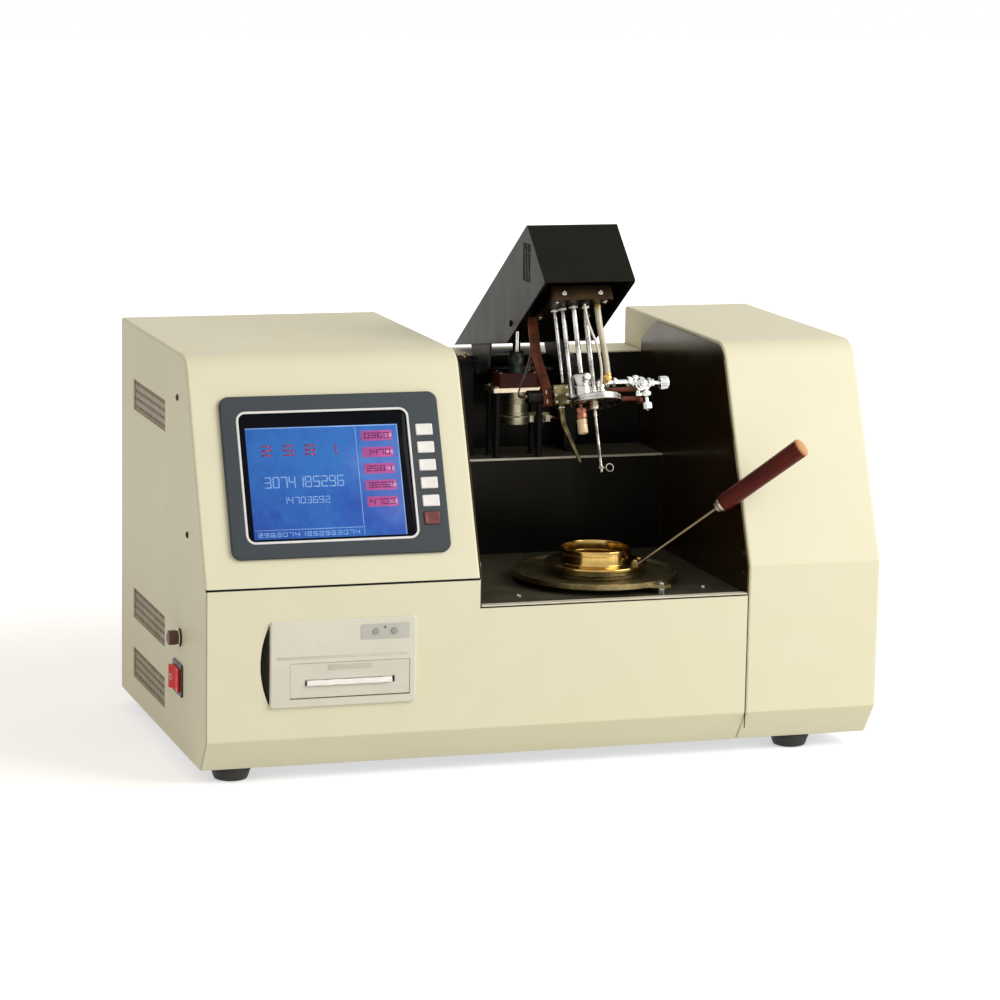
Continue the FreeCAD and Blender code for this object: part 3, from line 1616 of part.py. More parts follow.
def power_inlet():
    """Mains inlet with its flange, mouth and three blades."""
    y1 = case_depth + inlet_flange
    flange = block(inlet_x - inlet_width / 2, inlet_x + inlet_width / 2, case_depth, y1,
                   inlet_z - inlet_height / 2, inlet_z + inlet_height / 2)
    w, h = inlet_body_width() / 2, inlet_body_height() / 2
    body = block(inlet_x - w, inlet_x + w, case_depth - inlet_depth, case_depth, inlet_z - h,
                 inlet_z + h)
    w, h = inlet_mouth_width / 2, inlet_mouth_height / 2
    floor = y1 - inlet_mouth_depth
    mouth = block(inlet_x - w, inlet_x + w, floor, y1 + overrun, inlet_z - h, inlet_z + h)
    blades = []
    for column, rise in ((-1, -1), (0, 1), (1, -1)):
        x = inlet_x + inlet_pin_pitch * column
        z = inlet_z + inlet_pin_rise * rise
        blades.append(block(x - inlet_pin_width / 2, x + inlet_pin_width / 2, floor,
                            floor + inlet_pin_length, z - inlet_pin_height / 2,
                            z + inlet_pin_height / 2))
    return fused(fused(flange, body).cut(mouth), *blades)


def gas_inlet():
    start = -gas_tail_length
    nut, tip = gas_nut_length, gas_nut_length + gas_spigot_length
    profile = [(gas_spigot_bore, start), (gas_tail_radius, start), (gas_tail_radius, 0),
               (gas_nut_radius, 0), (gas_nut_radius, nut), (gas_spigot_radius, nut),
               (gas_spigot_radius, tip - rim_rounding), (gas_spigot_radius - rim_rounding, tip),
               (gas_spigot_bore, tip)]
    return turned(profile, V(gas_inlet_x, case_depth, gas_inlet_z), BACK)


# Inside
def power_supply():
    z0 = underside + tray_thickness
    core = block(supply_x, supply_x + supply_width, supply_y, supply_y + supply_depth, z0,
                 z0 + supply_height)
    inset_by = supply_cap_inset
    cap = block(supply_x + inset_by, supply_x + supply_width - inset_by, supply_y + inset_by,
                supply_y + supply_depth - inset_by, z0 + supply_height,
                z0 + supply_height + supply_cap_height)
    return fused(core, cap)


def control_board():
    z0 = underside + tray_thickness
    z1 = z0 + board_leg_height
    x1, y1 = board_x + board_width, board_y + board_depth
    board = block(board_x, x1, board_y, y1, z1, z1 + board_sheet)
    legs = []
    for x in (board_x + board_leg_inset, x1 - board_leg_inset):
        for y in (board_y + board_leg_inset, y1 - board_leg_inset):
            legs.append(rod(V(x, y, z0), V(x, y, z1), board_leg_radius))
    parts = []
    pitch_x = board_width / (board_part_columns + 1)
    pitch_y = board_depth / board_part_rows
    for row in range(board_part_rows):
        y = board_y + pitch_y * row + pitch_y / 2
        for column in range(board_part_columns):
            x = board_x + pitch_x * (column + 1)
            parts.append(block(x - board_part_width / 2, x + board_part_width / 2,
                               y - board_part_length / 2, y + board_part_length / 2,
                               z1 + board_sheet, z1 + board_sheet + board_part_height))
    return fused(board, *legs, *parts)


# Feet and screws
def foot_places():
    right, back = case_width - foot_right_inset, case_depth - foot_back_inset
    return [V(x, y, 0) for x in (foot_left_x, right) for y in (foot_front_y, back)]


def feet():
    profile = [(0, 0), (foot_bottom_radius - foot_rounding, 0),
               (foot_bottom_radius, foot_rounding), (foot_radius, foot_height - foot_band),
               (foot_radius, foot_height), (0, foot_height)]
    return Part.makeCompound([turned(profile, place, UP) for place in foot_places()])


def screws():
    left, out = V(-1, 0, 0), RIGHT
    solids = [screw(place, left) for place in side_screw_places(0)]
    solids += [screw(place, out) for place in side_screw_places(case_width)]
    solids += [screw(place, out) for place in wall_screw_places(bay_left + sheet)]
    solids += [screw(place, left) for place in wall_screw_places(bay_right - sheet)]
    solids += [screw(place, UP) for place in deck_screw_places()]
    spacer = rod(tab_hole_place(deck_height), tab_hole_place(plate_bottom), spacer_radius)
    shank = rod(tab_hole_place(deck_height - screw_shank_length), tab_hole_place(plate_top),
                screw_shank_radius)
    solids.append(fused(spacer, shank, screw(tab_hole_place(plate_top), UP)))
    return Part.makeCompound(solids)


def origin_shift():
    """From the left front corner of the case to the middle of all that stands out."""
    left = -fuse_flange_thickness - gap - fuse_cap_length
    tip = handle_point(wire_length + ferrule_length + grip_length)
    lean = cos(asin(handle_axis().y))
    front = tip.y - grip_large * lean
    back = case_depth + gas_nut_length + gas_spigot_length
    return V(-(left + case_width) / 2, -(front + back) / 2, 0)


def pieces():
    named = {
        "base_tray": base_tray(), "left_cover": left_cover(), "front_panel": front_panel(),
        "right_cover": right_cover(), "rear_panel": rear_panel(), "bay_tub": bay_tub(),
        "bay_side_panels": bay_side_panels(), "deck_lip": deck_lip(),
        "test_plate": test_plate(), "heater_block": heater_block(), "cup": cup(),
        "cup_handle_wire": cup_handle_wire(), "cup_handle_ferrule": cup_handle_ferrule(),
        "cup_handle_grip": cup_handle_grip(), "arm_cover": arm_cover(),
        "arm_frame": arm_frame(), "arm_shaft": arm_shaft(), "arm_bearings": arm_bearings(),
        "lift_bracket": lift_bracket(), "lift_gearbox": lift_gearbox(),
        "lift_guide": lift_guide(), "lift_rod": lift_rod(), "lift_motor": lift_motor(),
        "head_bracket": head_bracket(),
        "carrier_rods": carrier_rods(), "carrier_disc": carrier_disc(),
        "probe_clamp": probe_clamp(), "temperature_probe": temperature_probe(),
        "detector_ring": detector_ring(), "flame_sensor": flame_sensor(),
        "gas_manifold": gas_manifold(), "gas_knob_main": gas_knob_main(),
        "gas_knob_pilot": gas_knob_pilot(), "gas_hose": gas_hose(),
        "sweep_bracket": sweep_bracket(), "sweep_motor": sweep_motor(),
        "flame_tube": flame_tube(), "screen_bezel": screen_bezel(),
        "screen_panel": screen_panel(), "printer_case": printer_case(),
        "printer_door": printer_door(), "printer_roller": printer_roller(),
        "paper_roll": paper_roll(), "vent_screens": vent_screens(),
        "switch_frame": switch_frame(), "switch_rocker": switch_rocker(),
        "fuse_holder": fuse_holder(), "fuse_cap": fuse_cap(), "power_inlet": power_inlet(),
        "gas_inlet": gas_inlet(), "power_supply": power_supply(),
        "control_board": control_board(), "feet": feet(), "screws": screws(),
    }
    stop, *others = key_rectangles()
    named["key_stop"] = panel_key(stop)
    for index, rectangle in enumerate(reversed(others)):
        named[f"key_{index + 1}"] = panel_key(rectangle)
    return named


def write_parts():
    os.makedirs("parts", exist_ok=True)
    shift = origin_shift()
    for name, shape in pieces().items():
        moved = shape.copy()
        moved.translate(shift)
        moved.exportStep(f"parts/{name}.step")


write_parts()
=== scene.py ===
import json
from math import cos, pi, radians, sin

import bmesh
import bpy
from mathutils import Matrix, Vector


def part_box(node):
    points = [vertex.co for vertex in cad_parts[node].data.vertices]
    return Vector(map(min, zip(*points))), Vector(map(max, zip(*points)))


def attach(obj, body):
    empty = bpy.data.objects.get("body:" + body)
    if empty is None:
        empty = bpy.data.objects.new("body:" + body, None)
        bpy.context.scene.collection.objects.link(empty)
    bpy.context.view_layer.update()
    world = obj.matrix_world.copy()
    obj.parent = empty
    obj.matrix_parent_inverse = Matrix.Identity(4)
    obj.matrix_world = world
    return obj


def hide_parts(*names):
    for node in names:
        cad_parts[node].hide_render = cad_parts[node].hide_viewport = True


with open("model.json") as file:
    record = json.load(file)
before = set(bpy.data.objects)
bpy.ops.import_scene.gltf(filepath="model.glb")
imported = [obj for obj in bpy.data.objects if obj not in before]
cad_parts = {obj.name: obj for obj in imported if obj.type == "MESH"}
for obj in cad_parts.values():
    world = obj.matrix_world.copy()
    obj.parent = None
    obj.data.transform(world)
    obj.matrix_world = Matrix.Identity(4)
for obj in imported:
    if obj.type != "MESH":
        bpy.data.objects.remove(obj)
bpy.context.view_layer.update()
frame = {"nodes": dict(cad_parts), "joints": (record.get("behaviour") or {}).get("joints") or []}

bl_info = {
    "name": "Open Cup Flash Tester Looks",
    "version": (1, 0, 0),
    "blender": (4, 5, 0),
    "location": "3D View > Sidebar > Flash Tester",
    "description": "Dresses the packed bench flash point tester with its finishes and fine parts",
    "category": "Object",
}

JOINTS = {joint["name"]: joint for joint in frame["joints"]}
NODES = frame["nodes"]
RIGHT, BACK, UP = (1, 0, 0), (0, 1, 0), (0, 0, 1)
LEFT, FRONT, DOWN = (-1, 0, 0), (0, -1, 0), (0, 0, -1)


def shift(x, y, z=0.0):
    return Matrix.Translation((x, y, z))


# Sizes below are in millimetres, in the case's own frame: x from its left side, y from its
# front, z from the bench. CASE turns them into the frame's metres.
MM = 0.001
CASE = shift(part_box("left_cover")[0].x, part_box("front_panel")[0].y) @ Matrix.Scale(MM, 4)
# Outlines drawn in (y, z) and carried along x, and outlines in (x, z) carried to the front.
ALONG_X = Matrix(((0, 0, 1, 0), (1, 0, 0, 0), (0, 1, 0, 0), (0, 0, 0, 1)))
TO_FRONT = Matrix(((1, 0, 0, 0), (0, 0, -1, 0), (0, 1, 0, 0), (0, 0, 0, 1)))
HINGE = Vector(JOINTS["arm_lift"]["pos_m"])
BOX_SLOPE = radians(32.4)
CREASE = 187


def about_hinge(angle):
    """Millimetres about the middle of the hinge line, with the arm turned back by an angle."""
    return Matrix.Translation(HINGE) @ Matrix.Rotation(-angle, 4, "X") @ Matrix.Scale(MM, 4)


# The head with the arm lowered, and the arm box laid level.
HEAD = about_hinge(radians(JOINTS["arm_lift"]["range_deg"][1]))
BOX = about_hinge(BOX_SLOPE)
# Heights and places in the head's frame.
DISC_TOP, DISC_FOOT, BRACKET_FOOT = -83.8, -90.8, 5.98
DISC_SPOT, VALVE_Y, VALVE_Z, PIPE_Z = (7, -207.3), -206, -71.3, -69.5
RAIL_Y, RAIL_Z = -168, -76.5


def slope_frame():
    """x to the right, y up the sloping front from the crease, z out of it."""
    out = -Vector(JOINTS["key_1_press"]["axis"])
    turn = Matrix((Vector(RIGHT), out.cross(Vector(RIGHT)), out)).transposed().to_4x4()
    return CASE @ shift(0, 0, CREASE) @ turn


SLOPE = slope_frame()


def span(node):
    """Lowest and highest corners of a CAD node in the case's millimetres."""
    home = CASE.inverted()
    return [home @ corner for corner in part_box(node)]


def corners(low, high, inset_x, inset_y):
    """The four spots set in from the corners of a box, seen from above."""
    return [(x, y) for x in (low.x + inset_x, high.x - inset_x)
            for y in (low.y + inset_y, high.y - inset_y)]


# Forms. Each adds to a bmesh, in millimetres.
def stand(foot, axis=UP, spin=0.0):
    """Places a form whose own z runs along an axis from a foot."""
    turn = Vector(UP).rotation_difference(Vector(axis)).to_matrix().to_4x4()
    return Matrix.Translation(foot) @ turn @ Matrix.Rotation(spin, 4, "Z")


def skin(bm, rings, looped=True):
    """Faces between rings of points; a ring of one point is a tip."""
    for low, high in zip(rings, rings[1:]):
        count = max(len(low), len(high))
        for step in range(count if looped else count - 1):
            after = (step + 1) % count
            ends = [low[step % len(low)], low[after % len(low)], high[after % len(high)],
                    high[step % len(high)]]
            bm.faces.new(list(dict.fromkeys(ends)))


def lathe(bm, profile, place=Matrix(), steps=64, wobble=None):
    """Turned form through (radius, height) points; wobble scales the radius by the angle."""
    rings = []
    for radius, height in profile:
        ring = []
        for step in range(steps if radius else 1):
            angle = 2 * pi * step / steps
            reach = radius * (wobble(angle, height) if wobble else 1)
            spot = Vector((reach * cos(angle), reach * sin(angle), height))
            ring.append(bm.verts.new(place @ spot))
        rings.append(ring)
    skin(bm, rings)
    return rings


def rod(bm, radius, low, high, place=Matrix(), steps=32):
    lathe(bm, [(0, low), (radius, low), (radius, high), (0, high)], place, steps)


def hoop(bm, inner, outer, height, slant, place=Matrix(), steps=32):
    """Ring round a rod, with slanted shoulders."""
    lathe(bm, [(inner, 0), (outer, slant), (outer, height - slant), (inner, height), (inner, 0)],
          place, steps)


def join(bm, part, place):
    """Moves a form into place and adds it to a mesh."""
    part.transform(place)
    mesh = bpy.data.meshes.new("part")
    part.to_mesh(mesh)
    part.free()
    bm.from_mesh(mesh)
    bpy.data.meshes.remove(mesh)


def prism(bm, outline, low, high, edge=0.0, place=Matrix()):
    """Upright form over a flat outline of (x, y) points, with softened edges."""
    part = bmesh.new()
    floor, roof = ([part.verts.new((x, y, z)) for x, y in outline] for z in (low, high))
    part.faces.new(list(reversed(floor)))
    part.faces.new(roof)
    skin(part, [floor, roof])
    bmesh.ops.recalc_face_normals(part, faces=part.faces)
    if edge:
        sharp = [line for line in part.edges if line.calc_face_angle(0) > 0.6]
        bmesh.ops.bevel(part, geom=sharp, offset=edge, segments=2, profile=0.6, affect="EDGES",
                        clamp_overlap=True)
    join(bm, part, place)


def rounded(x0, x1, y0, y1, corner, steps=8):
    """Outline of a rectangle with round corners."""
    outline = []
    middles = [(x1 - corner, y1 - corner), (x0 + corner, y1 - corner), (x0 + corner, y0 + corner),
               (x1 - corner, y0 + corner)]
    for quarter, (x, y) in enumerate(middles):
        for step in range(steps + 1):
            angle = pi / 2 * (quarter + step / steps)
            outline.append((x + corner * cos(angle), y + corner * sin(angle)))
    return outline


def block(bm, x0, x1, y0, y1, z0, z1, edge=0.3, place=Matrix()):
    prism(bm, [(x0, y0), (x1, y0), (x1, y1), (x0, y1)], z0, z1, edge, place)


def plate(bm, x0, x1, y0, y1, z0, z1, corner, edge=0.3, place=Matrix()):
    prism(bm, rounded(x0, x1, y0, y1, corner), z0, z1, edge, place)


def levels(bm, low, high, corner, steps, steps_in):
    """Rings of points on rounded rectangles, one for each (step in, z); corner turns a step in
    into the corner's radius."""
    return [[bm.verts.new((x, y, z)) for x, y in rounded(
        low[0] + inset, high[0] - inset, low[1] + inset, high[1] - inset, corner(inset), steps)]
        for inset, z in steps_in]


def frame_ring(bm, x0, x1, y0, y1, z0, z1, corner, width):
    """Flat ring round a rounded rectangle, with a rounded crown."""
    rings = levels(bm, (x0, y0), (x1, y1), lambda inset: max(corner - inset, width / 5), 8, [
        (0, z0), (0, z1 - width / 5), (width / 5, z1), (width * 4 / 5, z1),
        (width, z1 - width / 5), (width, z0)])
    skin(bm, rings + rings[:1])


def key_cap(bm, low, high):
    """Key with softened edges and a slightly hollow face."""
    top = high.z
    rings = levels(bm, low, high, lambda inset: max(1.0 - inset * 0.2, 0.4), 5, [
        (0, low.z), (0, top - 0.9), (0.12, top - 0.45), (0.5, top - 0.1), (1.1, top),
        (2.4, top - 0.22), (3.6, top - 0.34)])
    skin(bm, rings)
    bm.faces.new(rings[-1])
    bm.faces.new(list(reversed(rings[0])))


def hexagon(bm, across, low, high, place=Matrix(), bore=0.0):
    """Nut with chamfered corners, and a bore if it has one."""
    corner = across / 2 / cos(pi / 6)

    def six_sided(angle, height):
        flat = across / 2 / cos((angle % (pi / 3)) - pi / 6)
        return min(flat, corner if low < height < high else across / 2 * 0.98) / corner

    chamfer = (high - low) * 0.14
    part = bmesh.new()
    rings = lathe(part, [(bore, low), (corner, low), (corner, low + chamfer),
                         (corner, high - chamfer), (corner, high), (bore, high)], steps=48,
                  wobble=six_sided)
    if bore:
        for vertex in rings[0] + rings[-1]:
            vertex.co.xy = vertex.co.xy.normalized() * bore
        skin(part, [rings[-1], rings[0]])
    join(bm, part, place)


def knurled(bm, radius, length, ribs, place=Matrix(), depth=0.06):
    """Knob turned with ribs along its side and softened ends."""
    def ribbed(angle, height):
        return 1 - depth * (0.5 - 0.5 * cos(angle * ribs)) if 0.12 < height / length < 0.88 else 1

    profile = [(0, 0), (0.82, 0), (0.96, 0.05), (0.98, 0.12), (1, 0.14), (1, 0.86), (0.98, 0.88),
               (0.94, 0.95), (0.8, 1), (0.45, 1), (0.4, 0.95), (0, 0.94)]
    lathe(bm, [(radius * out, length * up) for out, up in profile], place, ribs * 6, ribbed)


def screw_head(bm, place, radius=3.2, height=1.9, shank=4.0):
    """Domed head with a cross recess, on a short shank."""
    rings, steps, arm = 9, 48, radius * 0.15
    part = bmesh.new()
    grid = [[part.verts.new((0, 0, height * 0.42))]]
    for ring in range(1, rings + 1):
        share = ring / rings
        row = []
        for step in range(steps):
            angle = 2 * pi * (step + 0.5) / steps
            x, y = radius * share * cos(angle), radius * share * sin(angle)
            z = height * (0.35 + 0.65 * (1 - share ** 2.4))
            if share < 0.62 and (abs(x) < arm or abs(y) < arm):
                z -= height * 0.55 * (1 - share / 0.75)
            row.append(part.verts.new((x, y, z)))
        grid.append(row)
    grid.append([part.verts.new((v.co.x, v.co.y, 0)) for v in grid[-1]])
    skin(part, grid)
    part.faces.new(grid[-1])
    if shank:
        lathe(part, [(0, -shank), (radius * 0.4, -shank), (radius * 0.5, -shank + 0.6),
                     (radius * 0.5, 0.01), (0, 0.01)], steps=16)
    join(bm, part, place)


# Strokes that light up for each digit: a top, b upper right, c lower right, d bottom, e lower
# left, f upper left, g middle.
DIGIT_STROKES = ("abcdef", "bc", "abged", "abgcd", "fgbc", "afgcd", "afgedc", "abc", "abcdefg",
                 "abcdfg")


def display_digit(bm, x, y, wide, tall, digit, low=2.8, high=2.88):
    """Digit made of seven strokes, as small figures look on the display."""
    stroke = wide * 0.17
    right, top, middle = x + wide - stroke, y + tall - stroke, y + tall / 2 - stroke / 2
    strokes = {"a": (x, x + wide, top, top + stroke), "g": (x, x + wide, middle, middle + stroke),
               "d": (x, x + wide, y, y + stroke), "f": (x, x + stroke, middle, top + stroke),
               "e": (x, x + stroke, y, middle + stroke),
               "b": (right, x + wide, middle, top + stroke),
               "c": (right, x + wide, y, middle + stroke)}
    for name in DIGIT_STROKES[digit % 10]:
        block(bm, *strokes[name], low, high, 0.01)


def paper_strip(bm, x0, x1, front, out):
    """Strip of paper that comes through the door's slot, droops and ends, with slight waves."""
    steps = 24
    rows = [[bm.verts.new((x0 + (x1 - x0) * step / steps, y - 0.25 * sin(step * 1.3),
                           z + 0.12 * sin(step * 0.9))) for step in range(steps + 1)]
            for y, z in ((4.0, 98.4), (0.5, 99.0), (front, 99.5), (front - out * 0.5, 99.6),
                         (front - out * 0.85, 99.1), (front - out, 97.8),
                         (front - out * 0.98, 94.9), (front - out * 0.88, 94.9),
                         (front - out * 0.86, 97.7), (front - out * 0.7, 98.7),
                         (front - out * 0.4, 99.3), (front, 99.2), (0.5, 98.7), (4.0, 98.1))]
    skin(bm, rows + rows[:1], looped=False)
    bm.faces.new([row[0] for row in rows])
    bm.faces.new([row[-1] for row in reversed(rows)])


def settle(name, data, material, body):
    """Object that rides on a body, with the finish that it stands for."""
    data.materials.append(shared(material) if isinstance(material, str) else material)
    thing = bpy.data.objects.new(name, data)
    bpy.context.scene.collection.objects.link(thing)
    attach(thing, body)
    return thing


def piece(name, material, body, slot, *forms, replaces=(), place=CASE, sharp=35):
    """Piece made of forms, each a helper and what it is given; it rides on a body."""
    bm = bmesh.new()
    for helper, *given in forms:
        helper(bm, *given)
    bmesh.ops.recalc_face_normals(bm, faces=bm.faces)
    bm.transform(place)
    mesh = bpy.data.meshes.new(name)
    bm.to_mesh(mesh)
    bm.free()
    mesh.polygons.foreach_set("use_smooth", [True] * len(mesh.polygons))
    mesh.set_sharp_from_angle(angle=radians(sharp))
    thing = settle(name, mesh, material, body)
    if replaces:
        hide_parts(*replaces)


def wire(name, material, body, radius, points, place=CASE):
    """Flexible lead fixed at both ends, on one smooth curve."""
    curve = bpy.data.curves.new(name, "CURVE")
    curve.dimensions = "3D"
    line = curve.splines.new("NURBS")
    line.points.add(len(points) - 1)
    for knot, point in zip(line.points, points):
        knot.co = (*(place @ Vector(point)), 1)
    line.order_u = 3
    line.use_endpoint_u = True
    line.resolution_u = 10
    curve.bevel_depth = radius * MM
    curve.bevel_resolution = 4
    curve.use_fill_caps = True
    settle(name, curve, material, body)


def dress(material, *names):
    """Gives CAD nodes their finish."""
    material = shared(material) if isinstance(material, str) else material
    for name in names:
        slots = NODES[name].material_slots
        for index in range(len(slots)):
            slots[index].material = material
        if not len(slots):
            NODES[name].data.materials.append(material)


# Shader helpers
def linear(rgb):
    """Colour written as it looks on a screen, 0 to 255, turned into linear light."""
    shares = [channel / 255 for channel in rgb]
    return [s / 12.92 if s <= 0.04045 else ((s + 0.055) / 1.055) ** 2.4 for s in shares]


def feed(tree, socket, value):
    if isinstance(value, bpy.types.NodeSocket):
        tree.links.new(value, socket)
    elif socket.type == "RGBA" and len(value) == 3:
        socket.default_value = (*value, 1)
    else:
        socket.default_value = value


def fill(tree, node, **values):
    """Sets or links the sockets of a node by name, with _ for a space."""
    for label, value in values.items():
        feed(tree, node.inputs[label.replace("_", " ")], value)


def new_node(tree, kind, *given, **settings):
    """Node with its first sockets given in order."""
    added = tree.nodes.new(kind)
    for name, value in settings.items():
        setattr(added, name, value)
    for socket, value in zip(added.inputs, given):
        feed(tree, socket, value)
    return added


def maths(tree, operation, a, b=0.0, clamp=False):
    return new_node(tree, "ShaderNodeMath", a, b, operation=operation, use_clamp=clamp).outputs[0]


def times(tree, a, b, clamp=False):
    return maths(tree, "MULTIPLY", a, b, clamp)


def plus(tree, a, b, clamp=False):
    return maths(tree, "ADD", a, b, clamp)


def vector_maths(tree, operation, a, b=(0, 0, 0), result=0):
    return new_node(tree, "ShaderNodeVectorMath", a, b, operation=operation).outputs[result]


def scaled(tree, vector, factor):
    added = new_node(tree, "ShaderNodeVectorMath", vector, operation="SCALE")
    fill(tree, added, Scale=factor)
    return added.outputs[0]


def blend_colour(tree, factor, a, b):
    added = new_node(tree, "ShaderNodeMix", factor, data_type="RGBA")
    feed(tree, added.inputs[6], a)
    feed(tree, added.inputs[7], b)
    return added.outputs[2]


def blend_value(tree, factor, a, b):
    added = new_node(tree, "ShaderNodeMix", factor, data_type="FLOAT")
    feed(tree, added.inputs[2], a)
    feed(tree, added.inputs[3], b)
    return added.outputs[0]


def stretch(tree, value, low, high):
    """Spreads the range from low to high over 0 to 1."""
    return new_node(tree, "ShaderNodeMapRange", value, low, high, clamp=True,
                    interpolation_type="SMOOTHSTEP").outputs[0]


def noise(tree, spot, scale, detail=2.0, roughness=0.5):
    added = new_node(tree, "ShaderNodeTexNoise")
    fill(tree, added, Vector=spot, Scale=scale, Detail=detail, Roughness=roughness)
    return added.outputs["Fac"]


def spot_of(tree):
    return new_node(tree, "ShaderNodeTexCoord").outputs["Object"]


def along_and_across(tree, centre, axis):
    """How far a spot is along an axis from a centre, and its vectors along and across it."""
    away = vector_maths(tree, "SUBTRACT", spot_of(tree), centre)
    far = vector_maths(tree, "DOT_PRODUCT", away, axis, 1)
    along = scaled(tree, axis, far)
    return far, along, vector_maths(tree, "SUBTRACT", away, along)


def seen_directly(tree):
    """1 for what the camera, a mirror or a glass shows, 0 for light on its way to a surface."""
    rays = new_node(tree, "ShaderNodeLightPath").outputs
    return maths(tree, "MAXIMUM", rays["Is Camera Ray"],
                 maths(tree, "MAXIMUM", rays["Is Glossy Ray"], rays["Is Transmission Ray"]))


# Effects shared by the materials
VALUE, COLOUR, VECTOR = "NodeSocketFloat", "NodeSocketColor", "NodeSocketVector"


def effect(name, given, gives):
    """Empty node group with its sockets, and where its wiring starts and ends."""
    tree = bpy.data.node_groups.new(name, "ShaderNodeTree")
    for label, kind, default in given:
        socket = tree.interface.new_socket(label, in_out="INPUT", socket_type=kind)
        socket.default_value = default
    for label, kind in gives:
        tree.interface.new_socket(label, in_out="OUTPUT", socket_type=kind)
    return tree, tree.nodes.new("NodeGroupInput").outputs, tree.nodes.new("NodeGroupOutput").inputs


def uneven_tone():
    tree, given, gives = effect("Uneven Tone", [
        ("Color", COLOUR, (1, 1, 1, 1)), ("Second Color", COLOUR, (0.8, 0.8, 0.8, 1)),
        ("Size", VALUE, 0.1), ("Amount", VALUE, 0.5)], [("Color", COLOUR)])
    spot = spot_of(tree)
    broad = noise(tree, spot, maths(tree, "DIVIDE", 1.0, given["Size"]), 3)
    fine = noise(tree, spot, maths(tree, "DIVIDE", 11.0, given["Size"]), 4, 0.6)
    both = plus(tree, times(tree, broad, 0.7), times(tree, fine, 0.3))
    share = times(tree, stretch(tree, both, 0.36, 0.64), given["Amount"])
    feed(tree, gives["Color"], blend_colour(tree, share, given["Color"], given["Second Color"]))
    return tree


def fine_grain():
    tree, given, gives = effect("Fine Grain", [
        ("Size", VALUE, 0.001), ("Coarse Share", VALUE, 0.3)], [("Height", VALUE)])
    spot = spot_of(tree)
    scale = maths(tree, "DIVIDE", 1.0, given["Size"])
    fine, coarse = noise(tree, spot, scale), noise(tree, spot, times(tree, scale, 0.13))
    feed(tree, gives["Height"], blend_value(tree, given["Coarse Share"], fine, coarse))
    return tree


def brushed_lines():
    tree, given, gives = effect("Brushed Lines", [("Density", VECTOR, (20, 2000, 2000))],
                                [("Value", VALUE)])
    spot = vector_maths(tree, "MULTIPLY", spot_of(tree), given["Density"])
    feed(tree, gives["Value"], stretch(tree, noise(tree, spot, 1.0, 3, 0.7), 0.3, 0.7))
    return tree


def turned_rings():
    tree, given, gives = effect("Turned Rings", [
        ("Centre", VECTOR, (0, 0, 0)), ("Axis", VECTOR, UP), ("Spacing", VALUE, 0.0008)],
        [("Value", VALUE)])
    far, _, across = along_and_across(tree, given["Centre"], given["Axis"])
    out = vector_maths(tree, "LENGTH", across, result=1)
    pair = new_node(tree, "ShaderNodeCombineXYZ", maths(tree, "DIVIDE", out, given["Spacing"]),
                    maths(tree, "DIVIDE", far, given["Spacing"]))
    rings = noise(tree, pair.outputs[0], 1.0, 3, 0.6)
    feed(tree, gives["Value"], stretch(tree, rings, 0.3, 0.7))
    return tree


def rippled_sheet():
    tree, given, gives = effect("Rippled Sheet", [
        ("Centre", VECTOR, (0, 0, 0)), ("Reach", VALUE, 0.05), ("Density", VECTOR, (60, 60, 15))],
        [("Height", VALUE)])
    spot = spot_of(tree)
    away = vector_maths(tree, "LENGTH", vector_maths(tree, "SUBTRACT", spot, given["Centre"]),
                        result=1)
    near = stretch(tree, maths(tree, "DIVIDE", away, given["Reach"]), 1.0, 0.1)
    waves = noise(tree, vector_maths(tree, "MULTIPLY", spot, given["Density"]), 1.0, 1)
    feed(tree, gives["Height"], times(tree, near, waves))
    return tree


def worn_edges():
    tree, given, gives = effect("Worn Edges", [
        ("Width", VALUE, 0.001), ("Amount", VALUE, 0.5)], [("Mask", VALUE)])
    soft = new_node(tree, "ShaderNodeBevel", given["Width"], samples=4)
    own = new_node(tree, "ShaderNodeNewGeometry").outputs["Normal"]
    same = vector_maths(tree, "DOT_PRODUCT", soft.outputs[0], own, 1)
    edge = stretch(tree, maths(tree, "SUBTRACT", 1.0, same), 0.01, 0.12)
    patchy = stretch(tree, noise(tree, spot_of(tree), 160.0, 5, 0.65), 0.42, 0.62)
    feed(tree, gives["Mask"], times(tree, times(tree, edge, patchy), given["Amount"], True))
    return tree


def settled_dust():
    tree, given, gives = effect("Settled Dust", [("Amount", VALUE, 0.3)], [("Mask", VALUE)])
    own = new_node(tree, "ShaderNodeNewGeometry").outputs["Normal"]
    facing_up = stretch(tree, new_node(tree, "ShaderNodeSeparateXYZ", own).outputs[2], 0.3, 1.0)
    cloudy = noise(tree, spot_of(tree), 35.0, 5, 0.6)
    specks = stretch(tree, noise(tree, spot_of(tree), 900.0), 0.55, 0.75)
    both = plus(tree, times(tree, cloudy, 0.7), times(tree, specks, 0.5))
    feed(tree, gives["Mask"], times(tree, times(tree, facing_up, both), given["Amount"], True))
    return tree


def smudges():
    tree, given, gives = effect("Smudges", [
        ("Size", VALUE, 0.04), ("Roughness", VALUE, 0.4), ("Spread", VALUE, 0.1)],
        [("Roughness", VALUE)])
    spot = spot_of(tree)
    scale = maths(tree, "DIVIDE", 1.0, given["Size"])
    soft = noise(tree, spot, scale, 4, 0.6)
    streaky = noise(tree, vector_maths(tree, "MULTIPLY", spot, (1, 1, 0.25)),
                    times(tree, scale, 3.0), 3)
    both = maths(tree, "SUBTRACT", plus(tree, soft, streaky), 1.0)
    change = times(tree, both, times(tree, given["Spread"], 3.0))
    feed(tree, gives["Roughness"], plus(tree, given["Roughness"], change, True))
    return tree


